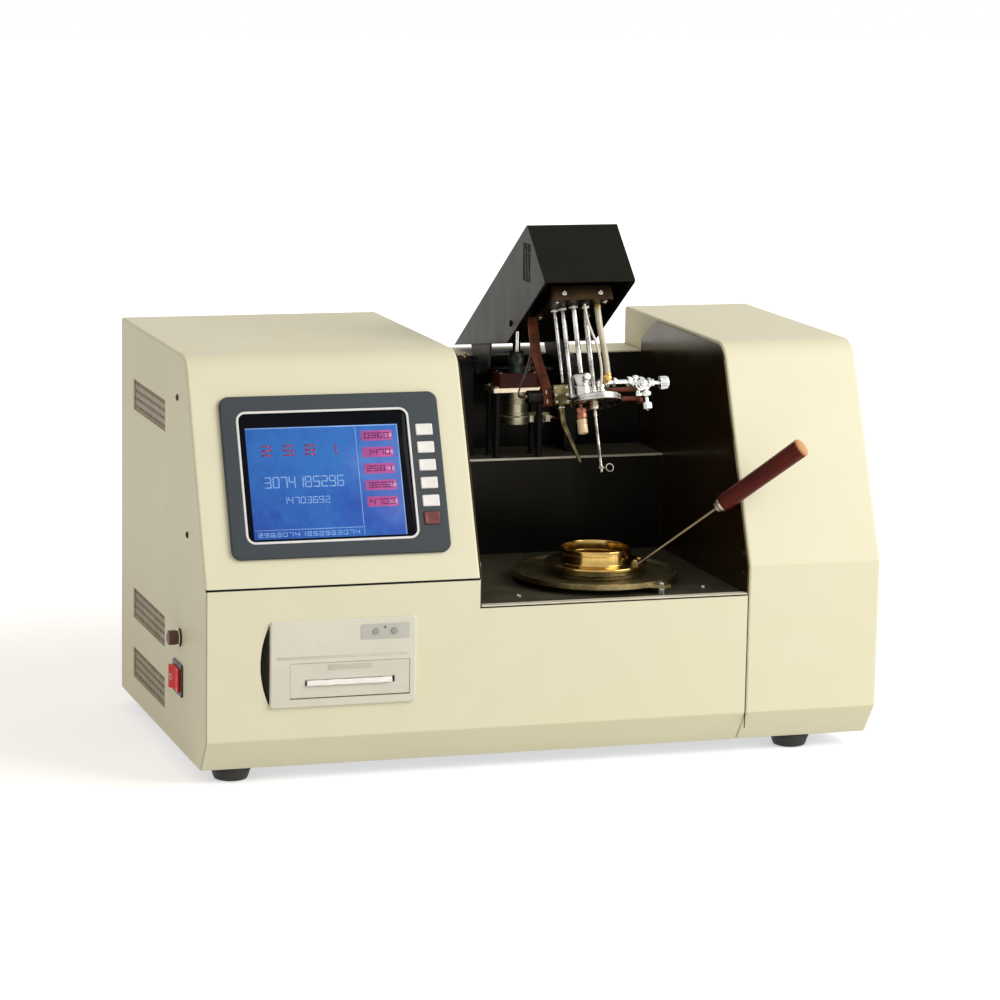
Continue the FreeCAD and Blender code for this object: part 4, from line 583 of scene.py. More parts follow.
def wood_grain():
    tree, given, gives = effect("Wood Grain", [
        ("Start", VECTOR, (0, 0, 0)), ("Axis", VECTOR, UP), ("Dark", COLOUR, (0.05, 0.01, 0, 1)),
        ("Light", COLOUR, (0.3, 0.06, 0.02, 1))], [("Color", COLOUR), ("Height", VALUE)])
    _, along, across = along_and_across(tree, given["Start"], given["Axis"])
    spot = vector_maths(tree, "ADD", across, scaled(tree, along, 0.06))
    bands, fibres = noise(tree, spot, 420.0, 4, 0.7), noise(tree, spot, 2600.0, 2, 0.6)
    both = plus(tree, times(tree, bands, 0.75), times(tree, fibres, 0.25))
    share = stretch(tree, both, 0.36, 0.62)
    feed(tree, gives["Color"], blend_colour(tree, share, given["Dark"], given["Light"]))
    feed(tree, gives["Height"], share)
    return tree


EFFECTS = {}


def use(tree, name, **values):
    """Places a shared effect in a material with its own values; the effects are built once."""
    if not EFFECTS:
        for builder in (uneven_tone, fine_grain, brushed_lines, turned_rings, rippled_sheet,
                        worn_edges, settled_dust, smudges, wood_grain):
            built = builder()
            EFFECTS[built.name] = built
    added = tree.nodes.new("ShaderNodeGroup")
    added.node_tree = EFFECTS[name]
    fill(tree, added, **values)
    return added.outputs


def new_material(name):
    material = bpy.data.materials.new(name)
    material.use_nodes = True
    return material, material.node_tree, material.node_tree.nodes["Principled BSDF"]


def finish(name, colour, second=None, tone=(0.06, 0.5), rough=0.45, spread=0.05, patch=0.05,
           metallic=0.0, grain=(0.0008, 0.00001, 0.3), edge=0.0004, lines=None, rings=None,
           wear=None, dust=0.0, dust_colour=(150, 142, 126), coat=0.0, coat_rough=0.1,
           specular=0.5, tint=(1, 1, 1), glow=0.0, ripples=None):
    """One finish. tone is (size, amount), grain (size, depth, coarse share), lines (density,
    depth), rings (centre, axis, spacing, depth), ripples (centre, reach, density, depth) and
    wear (width, amount, colour, roughness). Sizes are in metres."""
    material, tree, shader = new_material(name)
    shade = linear(colour)
    other = linear(second) if second else [channel * 0.86 for channel in shade]
    tinted = use(tree, "Uneven Tone", Color=shade, Second_Color=other, Size=tone[0],
                 Amount=tone[1])[0]
    roughness = use(tree, "Smudges", Size=patch, Roughness=rough, Spread=spread)[0]
    heights = []
    if grain[1]:
        heights.append((use(tree, "Fine Grain", Size=grain[0], Coarse_Share=grain[2])[0], grain[1]))
    if lines:
        value = use(tree, "Brushed Lines", Density=lines[0])[0]
        heights.append((value, lines[1]))
        roughness = plus(tree, roughness, times(tree, value, 0.08), True)
    if rings:
        value = use(tree, "Turned Rings", Centre=rings[0], Axis=rings[1], Spacing=rings[2])[0]
        heights.append((value, rings[3]))
        roughness = plus(tree, roughness, times(tree, value, 0.07), True)
    if ripples:
        centre, reach, density, depth = ripples
        heights.append((use(tree, "Rippled Sheet", Centre=centre, Reach=reach,
                            Density=density)[0], depth))
    if wear:
        width, amount, bare, bare_rough = wear
        mask = use(tree, "Worn Edges", Width=width, Amount=amount)[0]
        tinted = blend_colour(tree, mask, tinted, linear(bare))
        roughness = blend_value(tree, mask, roughness, bare_rough)
    if dust:
        mask = use(tree, "Settled Dust", Amount=dust)[0]
        tinted = blend_colour(tree, mask, tinted, linear(dust_colour))
        roughness = blend_value(tree, mask, roughness, 0.85)
    fill(tree, shader, Base_Color=tinted, Roughness=roughness, Metallic=metallic,
         Specular_IOR_Level=specular, Specular_Tint=tint, Coat_Weight=coat,
         Coat_Roughness=coat_rough)
    if glow:
        fill(tree, shader, Emission_Color=tinted, Emission_Strength=glow)
    normal = new_node(tree, "ShaderNodeBevel", edge, samples=4).outputs[0] if edge else None
    for height, depth in heights:
        bump = new_node(tree, "ShaderNodeBump")
        fill(tree, bump, Height=height, Distance=depth)
        if normal:
            fill(tree, bump, Normal=normal)
        normal = bump.outputs[0]
    if normal:
        fill(tree, shader, Normal=normal)
    return material


def plastic(name, colour, rough=0.4, **more):
    usual = dict(tone=(0.03, 0.35), grain=(0.0005, 0.000006, 0.2), dust=0.1)
    return finish(name, colour, rough=rough, **(usual | more))


def metal(name, colour, rough=0.28, **more):
    usual = dict(tone=(0.02, 0.5), metallic=1.0, grain=(0.0004, 0.000003, 0.3), patch=0.02,
                 spread=0.06)
    return finish(name, colour, rough=rough, **(usual | more))


# Finishes that several operators share: maker, colour, roughness and what differs.
STEEL, CHROME, NICKEL, BRASS, RUBBER = (
    "Bright Steel", "Polished Chrome", "Warm Nickel", "Brass Fastener", "Black Lead")
LEADS = ("Lead 1", "Lead 2", "Lead 3")
SHARED = {
    STEEL: (metal, (200, 198, 190), 0.24, dict(second=(150, 146, 136))),
    CHROME: (metal, (228, 228, 226), 0.1, dict(second=(205, 205, 204), spread=0.03)),
    NICKEL: (metal, (216, 204, 178), 0.26, dict(second=(170, 156, 128),
                                                lines=((40, 40, 3000), 0.000004))),
    BRASS: (metal, (214, 176, 104), 0.26, dict(second=(170, 128, 64))),
    RUBBER: (plastic, (22, 21, 20), 0.5, dict(specular=0.12)),
    LEADS[0]: (plastic, (70, 22, 18), 0.4, {}),
    LEADS[1]: (plastic, (24, 24, 24), 0.4, {}),
    LEADS[2]: (plastic, (28, 32, 48), 0.4, {}),
}
MADE = {}


def shared(name):
    """The shared finish of that name, made on first use."""
    if name not in MADE:
        maker, colour, rough, more = SHARED[name]
        MADE[name] = maker(name, colour, rough, **more)
    return MADE[name]


# Settings
def colour(name, description, rgb):
    return bpy.props.FloatVectorProperty(name=name, description=description, size=3, min=0, max=255,
                                         default=rgb, subtype="NONE")


def length(name, description, default):
    return bpy.props.FloatProperty(name=name, description=description, default=default * MM, min=0,
                                   unit="LENGTH", precision=4)


def share(name, description, default):
    return bpy.props.FloatProperty(name=name, description=description, default=default, min=0,
                                   max=1, subtype="FACTOR")


def number(name, description, default, **limits):
    return bpy.props.FloatProperty(name=name, description=description, default=default, **limits)


class CabinetLook(bpy.types.PropertyGroup):
    """The case's paint."""
    cream: colour("Cream paint", "Paint of the case, as seen on a screen", (234, 232, 204))
    cream_aged: colour("Aged paint", "Where the cream has yellowed a little", (227, 223, 191))
    grain: length("Paint grain", "Size of the paint's fine texture", 0.9)
    dust: share("Dust", "Dust on the surfaces that face up", 0.12)


class ScreenLook(bpy.types.PropertyGroup):
    """The screen, its bezel and the keys."""
    bezel: colour("Bezel", "Grey of the bezel", (52, 61, 66))
    blue: colour("Blue", "The display's ground", (36, 68, 150))
    pink: colour("Pink", "The display's boxes", (168, 66, 132))
    brightness: number("Brightness", "How far the display lights itself", 0.45, min=0, max=5)
    key: colour("Keys", "Caps of the five keys", (240, 240, 236))
    stop: colour("Stop key", "Cap of the lowest key", (104, 34, 32))


class PrinterLook(bpy.types.PropertyGroup):
    """The panel printer."""
    case: colour("Case", "Moulded case of the printer", (226, 226, 210))
    door: colour("Door", "Paper door", (221, 221, 206))
    slip: length("Paper slip", "How far the paper stands out of its slot", 2.2)


class BayLook(bpy.types.PropertyGroup):
    """The open bay between the two cabinets."""
    paint: colour("Black paint", "Deck, step and back wall", (13, 13, 11))
    liner: colour("Liner", "Glossy side panels", (42, 31, 11))


class CupLook(bpy.types.PropertyGroup):
    """Plate, cup and handle."""
    plate: colour("Plate", "Heated plate", (142, 130, 92))
    brass: colour("Brass", "Test cup", (198, 166, 98))
    wood: colour("Wood", "Handle's lacquered grip", (92, 22, 12))
    wood_dark: colour("Dark wood", "Grain of the grip", (48, 10, 6))


class ArmLook(bpy.types.PropertyGroup):
    """The hinged arm with what it carries."""
    paint: colour("Arm paint", "Satin black of the arm box", (20, 20, 16))
    gearbox: colour("Gearbox", "Paint of the lift's gearbox", (66, 25, 15))
    guide: colour("Guide", "Rod guide above the gearbox", (50, 62, 52))
    bar: colour("Sweep bar", "Bar that carries the sweep rails", (112, 58, 36))


class StageLook(bpy.types.PropertyGroup):
    """Floor, light and camera."""
    floor: colour("Floor", "Pale floor", (236, 236, 236))
    sun: number("Key light", "Strength of the key light", 2.3, min=0)
    sky: share("Sky", "Strength of the light from all round", 0.47)
    focal: number("Lens", "Focal length in millimetres", 132.4, min=1)


LOOKS = {"cabinet": CabinetLook, "screen": ScreenLook, "printer": PrinterLook, "bay": BayLook,
         "cup": CupLook, "arm": ArmLook, "stage": StageLook}


def look(context, name):
    return getattr(context.scene, f"flash_tester_{name}")


class Piece(bpy.types.Operator):
    """Piece of the tester"""
    bl_options = {"REGISTER", "UNDO"}


class FLASH_OT_case(Piece):
    """Paint the sheet metal case and give its floor a galvanised finish"""
    bl_idname = "flash_tester.case"
    bl_label = "Case"

    def execute(self, context):
        own = look(context, "cabinet")
        dress(finish("Cream Powder Coat", own.cream, own.cream_aged, tone=(0.5, 0.5), rough=0.42,
                     spread=0.03, patch=0.2, grain=(own.grain, 0.00001, 0.3), edge=0.0009,
                     wear=(0.0012, 0.25, (186, 176, 144), 0.5), dust=own.dust, specular=0.12,
                     dust_colour=(196, 182, 142)),
              "left_cover", "right_cover", "front_panel", "rear_panel")
        dress(metal("Galvanised Sheet", (176, 178, 178), 0.42, second=(140, 143, 146),
                    tone=(0.012, 0.9), dust=0.3), "base_tray")
        return {"FINISHED"}


class FLASH_OT_bay(Piece):
    """Line the open bay: black deck, step and back wall, glossy sides, a pale trim on the deck lip
    and a painted highlight strip along the shelf's edge
    """
    bl_idname = "flash_tester.bay"
    bl_label = "Bay"

    def execute(self, context):
        own = look(context, "bay")
        # The enamel's lighter worn edges are partly wear and partly painted highlight along the
        # bent edges.
        # The heavy pale dust on faces that look up is partly real dust and partly painted light,
        # lightening the deck where it catches light and reflections.
        dress(finish("Black Enamel", own.paint, (21, 20, 17), tone=(0.05, 0.7), rough=0.34,
                     spread=0.08, patch=0.07, grain=(0.0012, 0.000008, 0.3), specular=0.12,
                     tint=(1, 0.94, 0.8), wear=(0.0008, 0.35, (70, 66, 58), 0.4), dust=0.7,
                     dust_colour=(122, 116, 94)), "bay_tub")
        # The sheet is dented near the top of the right wall, where it throws broken reflections.
        dent = CASE @ Vector((525, 46, 300))
        dress(finish("Glossy Liner", own.liner, (26, 19, 8), tone=(0.09, 0.7), rough=0.2,
                     spread=0.05, patch=0.1, grain=(0.006, 0.00003, 0.7), tint=(1, 0.8, 0.45),
                     specular=0.4, ripples=(dent, 0.062, (110, 110, 26), 0.0011)),
              "bay_side_panels")
        pale_trim_and_highlight = finish("Pale Trim And Painted Highlight", (232, 227, 208), (206, 199, 178), tone=(0.04, 0.6), rough=0.35,
                      lines=((30, 2500, 2500), 0.000004), wear=(0.0008, 0.4, (150, 144, 128), 0.4))
        dress(pale_trim_and_highlight, "deck_lip")
        # A pale strip along the shelf's front edge: painted highlight, standing for the light that
        # the bent edge catches.
        low, high = span("bay_tub")
        angle_strip = [(239.0, 254.0), (239.8, 254.0), (239.8, 255.1), (242.8, 255.1),
                       (242.8, 255.8), (239.0, 255.8)]
        piece("shelf_edge_highlight", pale_trim_and_highlight, "base", "lip_trim",
              (prism, angle_strip, low.x + 0.2, high.x - 0.2, 0.25, ALONG_X))
        # Dark strips in the seam under the crease and beside the right wall: painted shade,
        # standing for the shade in those gaps.
        piece("seam_shade_strips", RUBBER, "base", "black_paint",
              (block, 0.6, 259.4, -0.15, 1.4, 185.3, 187.3, 0.1),
              (block, 525.6, 526.2, 1.0, 2.4, 30.0, 158.0, 0.1))
        return {"FINISHED"}


class FLASH_OT_screen(Piece):
    """Dress the bezel and light the display behind its window"""
    bl_idname = "flash_tester.screen"
    bl_label = "Screen"

    def execute(self, context):
        own = look(context, "screen")
        dress(finish("Bezel Grey", own.bezel, (58, 62, 66), tone=(0.05, 0.6), rough=0.45,
                     patch=0.06, grain=(0.0006, 0.00001, 0.2), edge=0.0007, specular=0.3,
                     wear=(0.0008, 0.3, (112, 114, 118), 0.4), dust=0.05), "screen_bezel")
        dress(finish("Screen Back", (20, 22, 26), rough=0.4, grain=(0.001, 0.000004, 0.2)),
              "screen_panel")

        def add(name, material, *forms, slot="screen_face"):
            piece(name, material, "base", slot, *forms, place=SLOPE)

        def lit(name, colour, second, tone, strength=1.0, **more):
            return finish(name, colour, second, tone=tone, rough=0.2,
                          glow=own.brightness * strength, **more)

        add("window_line", finish("White Window Line", (236, 238, 236), (216, 218, 218),
                                  tone=(0.03, 0.5), rough=0.35),
            (frame_ring, 41.0, 205.0, 39.5, 164.0, 4.02, 4.5, 9.0, 2.4), slot="bezel_grey")
        add("display_glass", finish("Display Glass", (8, 10, 16), (14, 17, 26), tone=(0.08, 0.6),
                                    rough=0.08, spread=0.03, grain=(0.01, 0.0, 0.2), edge=0.0003,
                                    specular=0.05),
            (plate, 43.2, 202.8, 41.7, 161.8, 0.3, 2.6, 7.8, 0.4))
        add("display_ground", lit("Display Blue", own.blue, (46, 100, 168), (0.12, 0.9),
                                  specular=0.15, spread=0.02, grain=(0.00035, 0.000001, 0.1)),
            (block, 49.0, 193.5, 44.0, 148.5, 2.62, 2.8, 0.05))
        lines = ((49.0, 193.5, 147.3, 148.4), (192.3, 193.4, 44.0, 148.4),
                 (152.6, 153.3, 44.4, 147.4), (49.6, 152.0, 52.2, 52.8))
        # Rows of digits: count, x, step, y, width, height, and how the made-up figures run.
        rows = ((17, 53.0, 5.7, 46.0, 4.4, 4.2, 7, 2), (10, 63.0, 7.6, 91.5, 6.4, 10.6, 7, 3),
                (8, 78.0, 5.8, 76.5, 4.8, 6.4, 3, 1))
        add("display_marks", lit("Display Pale", (120, 156, 206), (96, 134, 196), (0.01, 0.6)),
            *((block, *line, 2.8, 2.88, 0.02) for line in lines),
            *((display_digit, x + index * step, y, wide, tall, index * by + first)
              for count, x, step, y, wide, tall, by, first in rows for index in range(count)))
        box_feet = [133.2 - index * 15.6 for index in range(5)]
        add("display_boxes", lit("Display Pink", own.pink, (136, 56, 130), (0.01, 0.8)),
            *((plate, 158.0, 187.5, y, y + 9.6, 2.8, 2.9, 1.2, 0.03) for y in box_feet))
        add("display_box_marks", lit("Display Violet", (92, 20, 74), (66, 24, 84), (0.004, 0.8),
                                     0.6),
            *((display_digit, 161.0 + mark * 6.2, y + 2.2, 5.0, 5.4, index + mark * 3, 2.9, 2.96)
              for index, y in enumerate(box_feet) for mark in range(4)))
        add("display_blocks", lit("Display Crimson", (150, 34, 84), (112, 40, 104), (0.004, 0.9),
                                  0.5),
            *((display_digit, 63.0 + index * 20.5, 121.5, 9.4, 10.2, index * 3 + 2)
              for index in range(4)))
        return {"FINISHED"}


class FLASH_OT_keys(Piece):
    """Five white keys and the red one"""
    bl_idname = "flash_tester.keys"
    bl_label = "Keys"

    def execute(self, context):
        own = look(context, "screen")
        white = plastic("White Key Caps", own.key, 0.34, second=(226, 225, 218), edge=0.0005)
        red = plastic("Red Key Cap", own.stop, 0.34, second=(104, 38, 36), edge=0.0005)
        home = SLOPE.inverted()
        for name in ("key_1", "key_2", "key_3", "key_4", "key_5", "key_stop"):
            spots = [home @ v.co for v in NODES[name].data.vertices]
            low, high = (Vector([pick(spot[i] for spot in spots) for i in range(3)])
                         for pick in (min, max))
            material, slot = (red, "key_red") if name == "key_stop" else (white, "key_white")
            piece(name + "_cap", material, name, slot, (key_cap, low, high), replaces=(name,),
                  place=SLOPE, sharp=60)
        return {"FINISHED"}


class FLASH_OT_printer(Piece):
    """Panel printer with its door, paper slip, label and small keys"""
    bl_idname = "flash_tester.printer"
    bl_label = "Printer"

    def execute(self, context):
        own = look(context, "printer")
        case = plastic("Printer Moulding", own.case, 0.38, second=(216, 215, 199), tone=(0.06, 0.7),
                       edge=0.0008, dust=0.1, wear=(0.001, 0.2, (196, 192, 176), 0.5))
        door = plastic("Printer Door", own.door, 0.4, second=(212, 211, 196), tone=(0.05, 0.7),
                       edge=0.0005)
        dress(case, "printer_case")
        dress(door, "printer_door")
        dress(plastic("Feed Roller", (34, 33, 32), 0.6, grain=(0.0004, 0.00002, 0.2)),
              "printer_roller")
        dress(finish("Paper Roll", (240, 238, 230), (226, 223, 212), tone=(0.01, 0.6), rough=0.75,
                     rings=(CASE @ Vector((135.5, 38, 96.8)), RIGHT, 0.0002, 0.00002)),
              "paper_roll")
        piece("printer_label", finish("Grey Label", (198, 199, 190), (186, 188, 180),
                                      tone=(0.02, 0.6), rough=0.3), "base", "printer_grey",
              (plate, 145.0, 191.5, 135.4, 149.8, 3.0, 3.25, 1.5, 0.1, TO_FRONT))
        button = [(0, 0), (3.1, 0), (3.1, 0.7), (2.7, 1.15), (1.6, 1.1), (0, 0.9)]
        piece("printer_buttons", plastic("Grey Buttons", (158, 160, 154), 0.4), "base",
              "printer_grey", *((lathe, button, stand((x, -3.2, 142.6), FRONT), 40)
                                for x in (159.5, 177.0)))
        piece("printer_lamp", plastic("Green Lamp", (70, 130, 80), 0.15, coat=0.6), "base",
              "printer_grey", (lathe, [(0, 0), (1.1, 0), (1.1, 0.5), (0.8, 0.9), (0, 1.1)],
                               stand((168.3, -3.2, 146.4), FRONT), 24))
        piece("printer_case_ribs", case, "base", "printer_grey",
              *((block, 66.0, 192.0, z, z + 0.6, 3.0, 3.22, 0.1, TO_FRONT) for z in (121.5, 120.0)))
        low, high = span("printer_door")
        front, x0, x1 = low.y, low.x + 17.8, high.x - 19.4
        piece("paper_slip", finish("Paper Slip", (252, 251, 246), (244, 243, 236), tone=(0.02, 0.5),
                                   rough=0.6, grain=(0.0004, 0.000006, 0.2)), "door", "paper",
              (paper_strip, x0, x1, front, own.slip / MM))
        piece("door_grip_ribs", door, "door", "door_grey",
              *((block, low.x + 38, high.x - 38, low.z + 25.2 + index * 1.1,
                 low.z + 25.75 + index * 1.1, -front, 0.35 - front, 0.12, TO_FRONT)
                for index in range(5)))
        pitch, depth = 0.9, 0.55
        teeth = [(x0 - 2 + index * pitch, 100.0 - depth * (index % 2))
                 for index in range(int((x1 - x0 + 4) / pitch))]
        outline = [(teeth[0][0], 101.2), (teeth[-1][0], 101.2)] + teeth[::-1]
        piece("tear_edge", STEEL, "door", "door_grey",
              (prism, outline, -front - 0.9, -front - 0.5, 0.0, TO_FRONT))
        return {"FINISHED"}


class FLASH_OT_side_fittings(Piece):
    """Vents, mains switch and fuse in the left side"""
    bl_idname = "flash_tester.side_fittings"
    bl_label = "Side fittings"

    def execute(self, context):
        dress(finish("Pierced Screen", (148, 132, 104), (122, 106, 82), tone=(0.02, 0.8), rough=0.5,
                     metallic=0.3, edge=0.0, dust=0.2), "vent_screens")
        dress(plastic("Switch Black", (22, 21, 20), 0.36), "switch_frame", "fuse_holder")
        dress(plastic("Rocker Red", (204, 20, 16), 0.26, second=(158, 12, 12), coat=0.1,
                      edge=0.0006, specular=0.15, glow=0.16, dust=0.0), "switch_rocker")
        # The rocker stands at 7 degrees, and its halves lean 11 degrees either way from it.
        pivot = shift(2.0, 108.0, 82.5) @ Matrix.Rotation(radians(7), 4, "Z")
        on, off = (pivot @ shift(-7.1, half * 8.0) @ Matrix.Rotation(radians(half * 11), 4, "Z")
                   for half in (-1, 1))
        piece("switch_marks", plastic("White Marks", (236, 234, 228), 0.4), "rocker", "rocker_red",
              (block, -0.25, 0.05, -0.6, 0.6, -3.0, 3.0, 0.05, on),
              (lathe, [(2.2, 0), (2.9, 0), (2.9, 0.3), (2.2, 0.3), (2.2, 0)],
               off @ stand((0.05, 0, 0), LEFT), 40))
        low, high = span("fuse_cap")
        y, z = 102.0, 122.5
        piece("fuse_cap_ribbed", plastic("Fuse Cap", (92, 60, 38), 0.35, second=(70, 44, 28)),
              "fuse", "fuse_cap_plastic",
              (knurled, 6.9, 9.6, 18, stand((high.x - 8.2, y, z), LEFT), 0.09),
              (rod, 3.5, 0, 8.1, stand((high.x, y, z), LEFT)),
              (block, low.x + 0.1, low.x + 0.9, y - 5.5, y + 5.5, z - 0.9, z + 0.9, 0.2),
              replaces=("fuse_cap",))
        piece("fuse_ring", NICKEL, "base", "fuse_black",
              (lathe, [(6.3, 2.1), (8.3, 2.1), (8.4, 2.3), (8.0, 2.75), (6.6, 2.8), (6.3, 2.1)],
               stand((0, y, z), LEFT), 48))
        return {"FINISHED"}


class FLASH_OT_plate_and_cup(Piece):
    """Heated plate with its heater, and the turned brass cup"""
    bl_idname = "flash_tester.plate_and_cup"
    bl_label = "Plate and cup"

    def execute(self, context):
        own = look(context, "cup")
        axis = Vector(JOINTS["cup_turn"]["pos_m"])
        dress(metal("Heat Tinted Plate", own.plate, 0.3, second=(92, 78, 46), tone=(0.03, 0.9),
                    rings=(axis, UP, 0.0006, 0.000012), patch=0.03, spread=0.08,
                    wear=(0.0008, 0.6, (196, 184, 140), 0.25), dust=0.05), "test_plate")
        dress(finish("Heater Casting", (58, 52, 46), (40, 36, 32), rough=0.6, metallic=0.6,
                     grain=(0.0016, 0.00006, 0.4)), "heater_block")
        low, high = span("cup")
        bore, outer, flange = 31.75, 34.15, 49.0
        rim, top, foot = high.z, high.z - 14.0, low.z
        profile = [(0, foot), (outer - 3, foot), (outer - 0.8, foot + 0.7), (outer, foot + 2.8),
                   (outer, top - 3.0), (flange - 0.9, top - 3.0), (flange - 0.25, top - 2.75),
                   (flange, top - 2.2), (flange, top - 0.8), (flange - 0.25, top - 0.25),
                   (flange - 0.9, top), (outer + 1.2, top), (outer + 0.35, top + 0.3),
                   (outer, top + 1.2), (outer, rim - 5.2), (outer - 0.35, rim - 4.9),
                   (outer - 0.35, rim - 4.4), (outer, rim - 4.1), (outer, rim - 0.9),
                   (outer - 0.3, rim - 0.25), (outer - 0.9, rim), (bore + 0.8, rim),
                   (bore + 0.2, rim - 0.2), (bore, rim - 0.8), (bore, rim - 9.0),
                   (bore - 0.25, rim - 9.2), (bore - 0.25, rim - 9.7), (bore, rim - 9.9),
                   (bore, foot + 5.6), (bore - 0.7, foot + 3.6), (bore - 2.6, foot + 2.8),
                   (bore * 0.5, foot + 2.8), (0, foot + 2.8)]
        centre = CASE.inverted() @ axis
        piece("test_cup", metal("Turned Brass", own.brass, 0.14, second=(152, 120, 64),
                                tone=(0.03, 0.6), rings=(axis, UP, 0.0005, 0.000008), patch=0.015,
                                spread=0.07), "cup", "cup_brass",
              (lathe, profile, shift(centre.x, centre.y), 160), replaces=("cup",))
        return {"FINISHED"}


def handle_line():
    """Start and direction of the cup's handle, from the foot of its wire on the flange."""
    bearing, rise, reach = radians(-36.0), radians(38.4), 46
    foot = Vector((405 + reach * cos(bearing), 97 + reach * sin(bearing), 181.0))
    return foot, Vector((cos(bearing) * cos(rise), sin(bearing) * cos(rise), sin(rise)))


class FLASH_OT_handle(Piece):
    """Wire handle with its ferrule and lacquered wooden grip"""
    bl_idname = "flash_tester.handle"
    bl_label = "Cup handle"

    def execute(self, context):
        own = look(context, "cup")
        foot, along = handle_line()
        dress(metal("Handle Wire", (132, 116, 92), 0.24, second=(76, 62, 44)), "cup_handle_wire")
        side = along.cross(Vector(UP)).normalized()
        seat = Vector((foot.x, foot.y, 183.1)) - Vector((along.x, along.y, 0)).normalized() * 4.2
        piece("handle_rivets", BRASS, "cup", "handle_wire",
              *((lathe, [(0, 1.1), (1.4, 1.0), (2.2, 0.5), (2.4, 0), (0, 0)],
                 stand(seat + side * way * 6.5), 24) for way in (-1, 1)))
        profile = [(0, 0), (3.9, 0), (4.5, 0.5), (4.8, 1.2), (5.2, 2.6), (4.9, 2.9), (5.1, 3.5),
                   (5.7, 3.8), (6.3, 5.2), (6.0, 5.5), (6.2, 5.9), (6.8, 6.2), (7.1, 7.6), (7.1, 8),
                   (0, 8)]
        piece("handle_ferrule", metal("Ferrule", (196, 186, 166), 0.26, second=(150, 134, 104)),
              "cup", "ferrule_metal", (lathe, profile, stand(foot + along * 92, along)),
              replaces=("cup_handle_ferrule",))
        start = foot + along * 100
        profile = [(0, 0), (6.6, 0), (7.6, 0.4), (8.15, 1.6)]
        for step in range(1, 24):
            part = step / 24
            profile.append((8.2 + 1.0 * part ** 0.7 - 0.8 * part * (1 - part), 98 * part))
        profile += [(9.1, 95.0), (8.9, 96.0), (8.3, 96.9), (7.1, 97.5), (5.3, 97.8), (0, 97.9)]
        piece("handle_grip", self.wood(own, CASE @ start, along), "cup", "grip_wood",
              (lathe, profile, stand(start, along)), replaces=("cup_handle_grip",))
        return {"FINISHED"}

    def wood(self, own, start, along):
        """Lacquered wood, worn at its edges and paler at the far end."""
        material, tree, shader = new_material("Lacquered Wood")
        grain = use(tree, "Wood Grain", Start=start, Axis=along, Dark=linear(own.wood_dark),
                    Light=linear(own.wood))
        worn = use(tree, "Worn Edges", Width=0.0016, Amount=0.8)[0]
        from_start = vector_maths(tree, "SUBTRACT", spot_of(tree), start)
        pale_far_end = stretch(tree, vector_maths(tree, "DOT_PRODUCT", from_start, along, 1),
                           0.0935, 0.0965)
        tinted = blend_colour(tree, maths(tree, "MAXIMUM", worn, pale_far_end), grain["Color"],
                              linear((206, 150, 104)))
        bump = new_node(tree, "ShaderNodeBump")
        fill(tree, bump, Height=grain["Height"], Distance=0.00004)
        fill(tree, shader, Base_Color=tinted, Specular_IOR_Level=0.2, Specular_Tint=(1, 0.6, 0.5),
             Roughness=use(tree, "Smudges", Size=0.02, Roughness=0.34, Spread=0.06)[0],
             Coat_Weight=0.03, Coat_Roughness=0.2, Normal=bump.outputs[0])
        return material


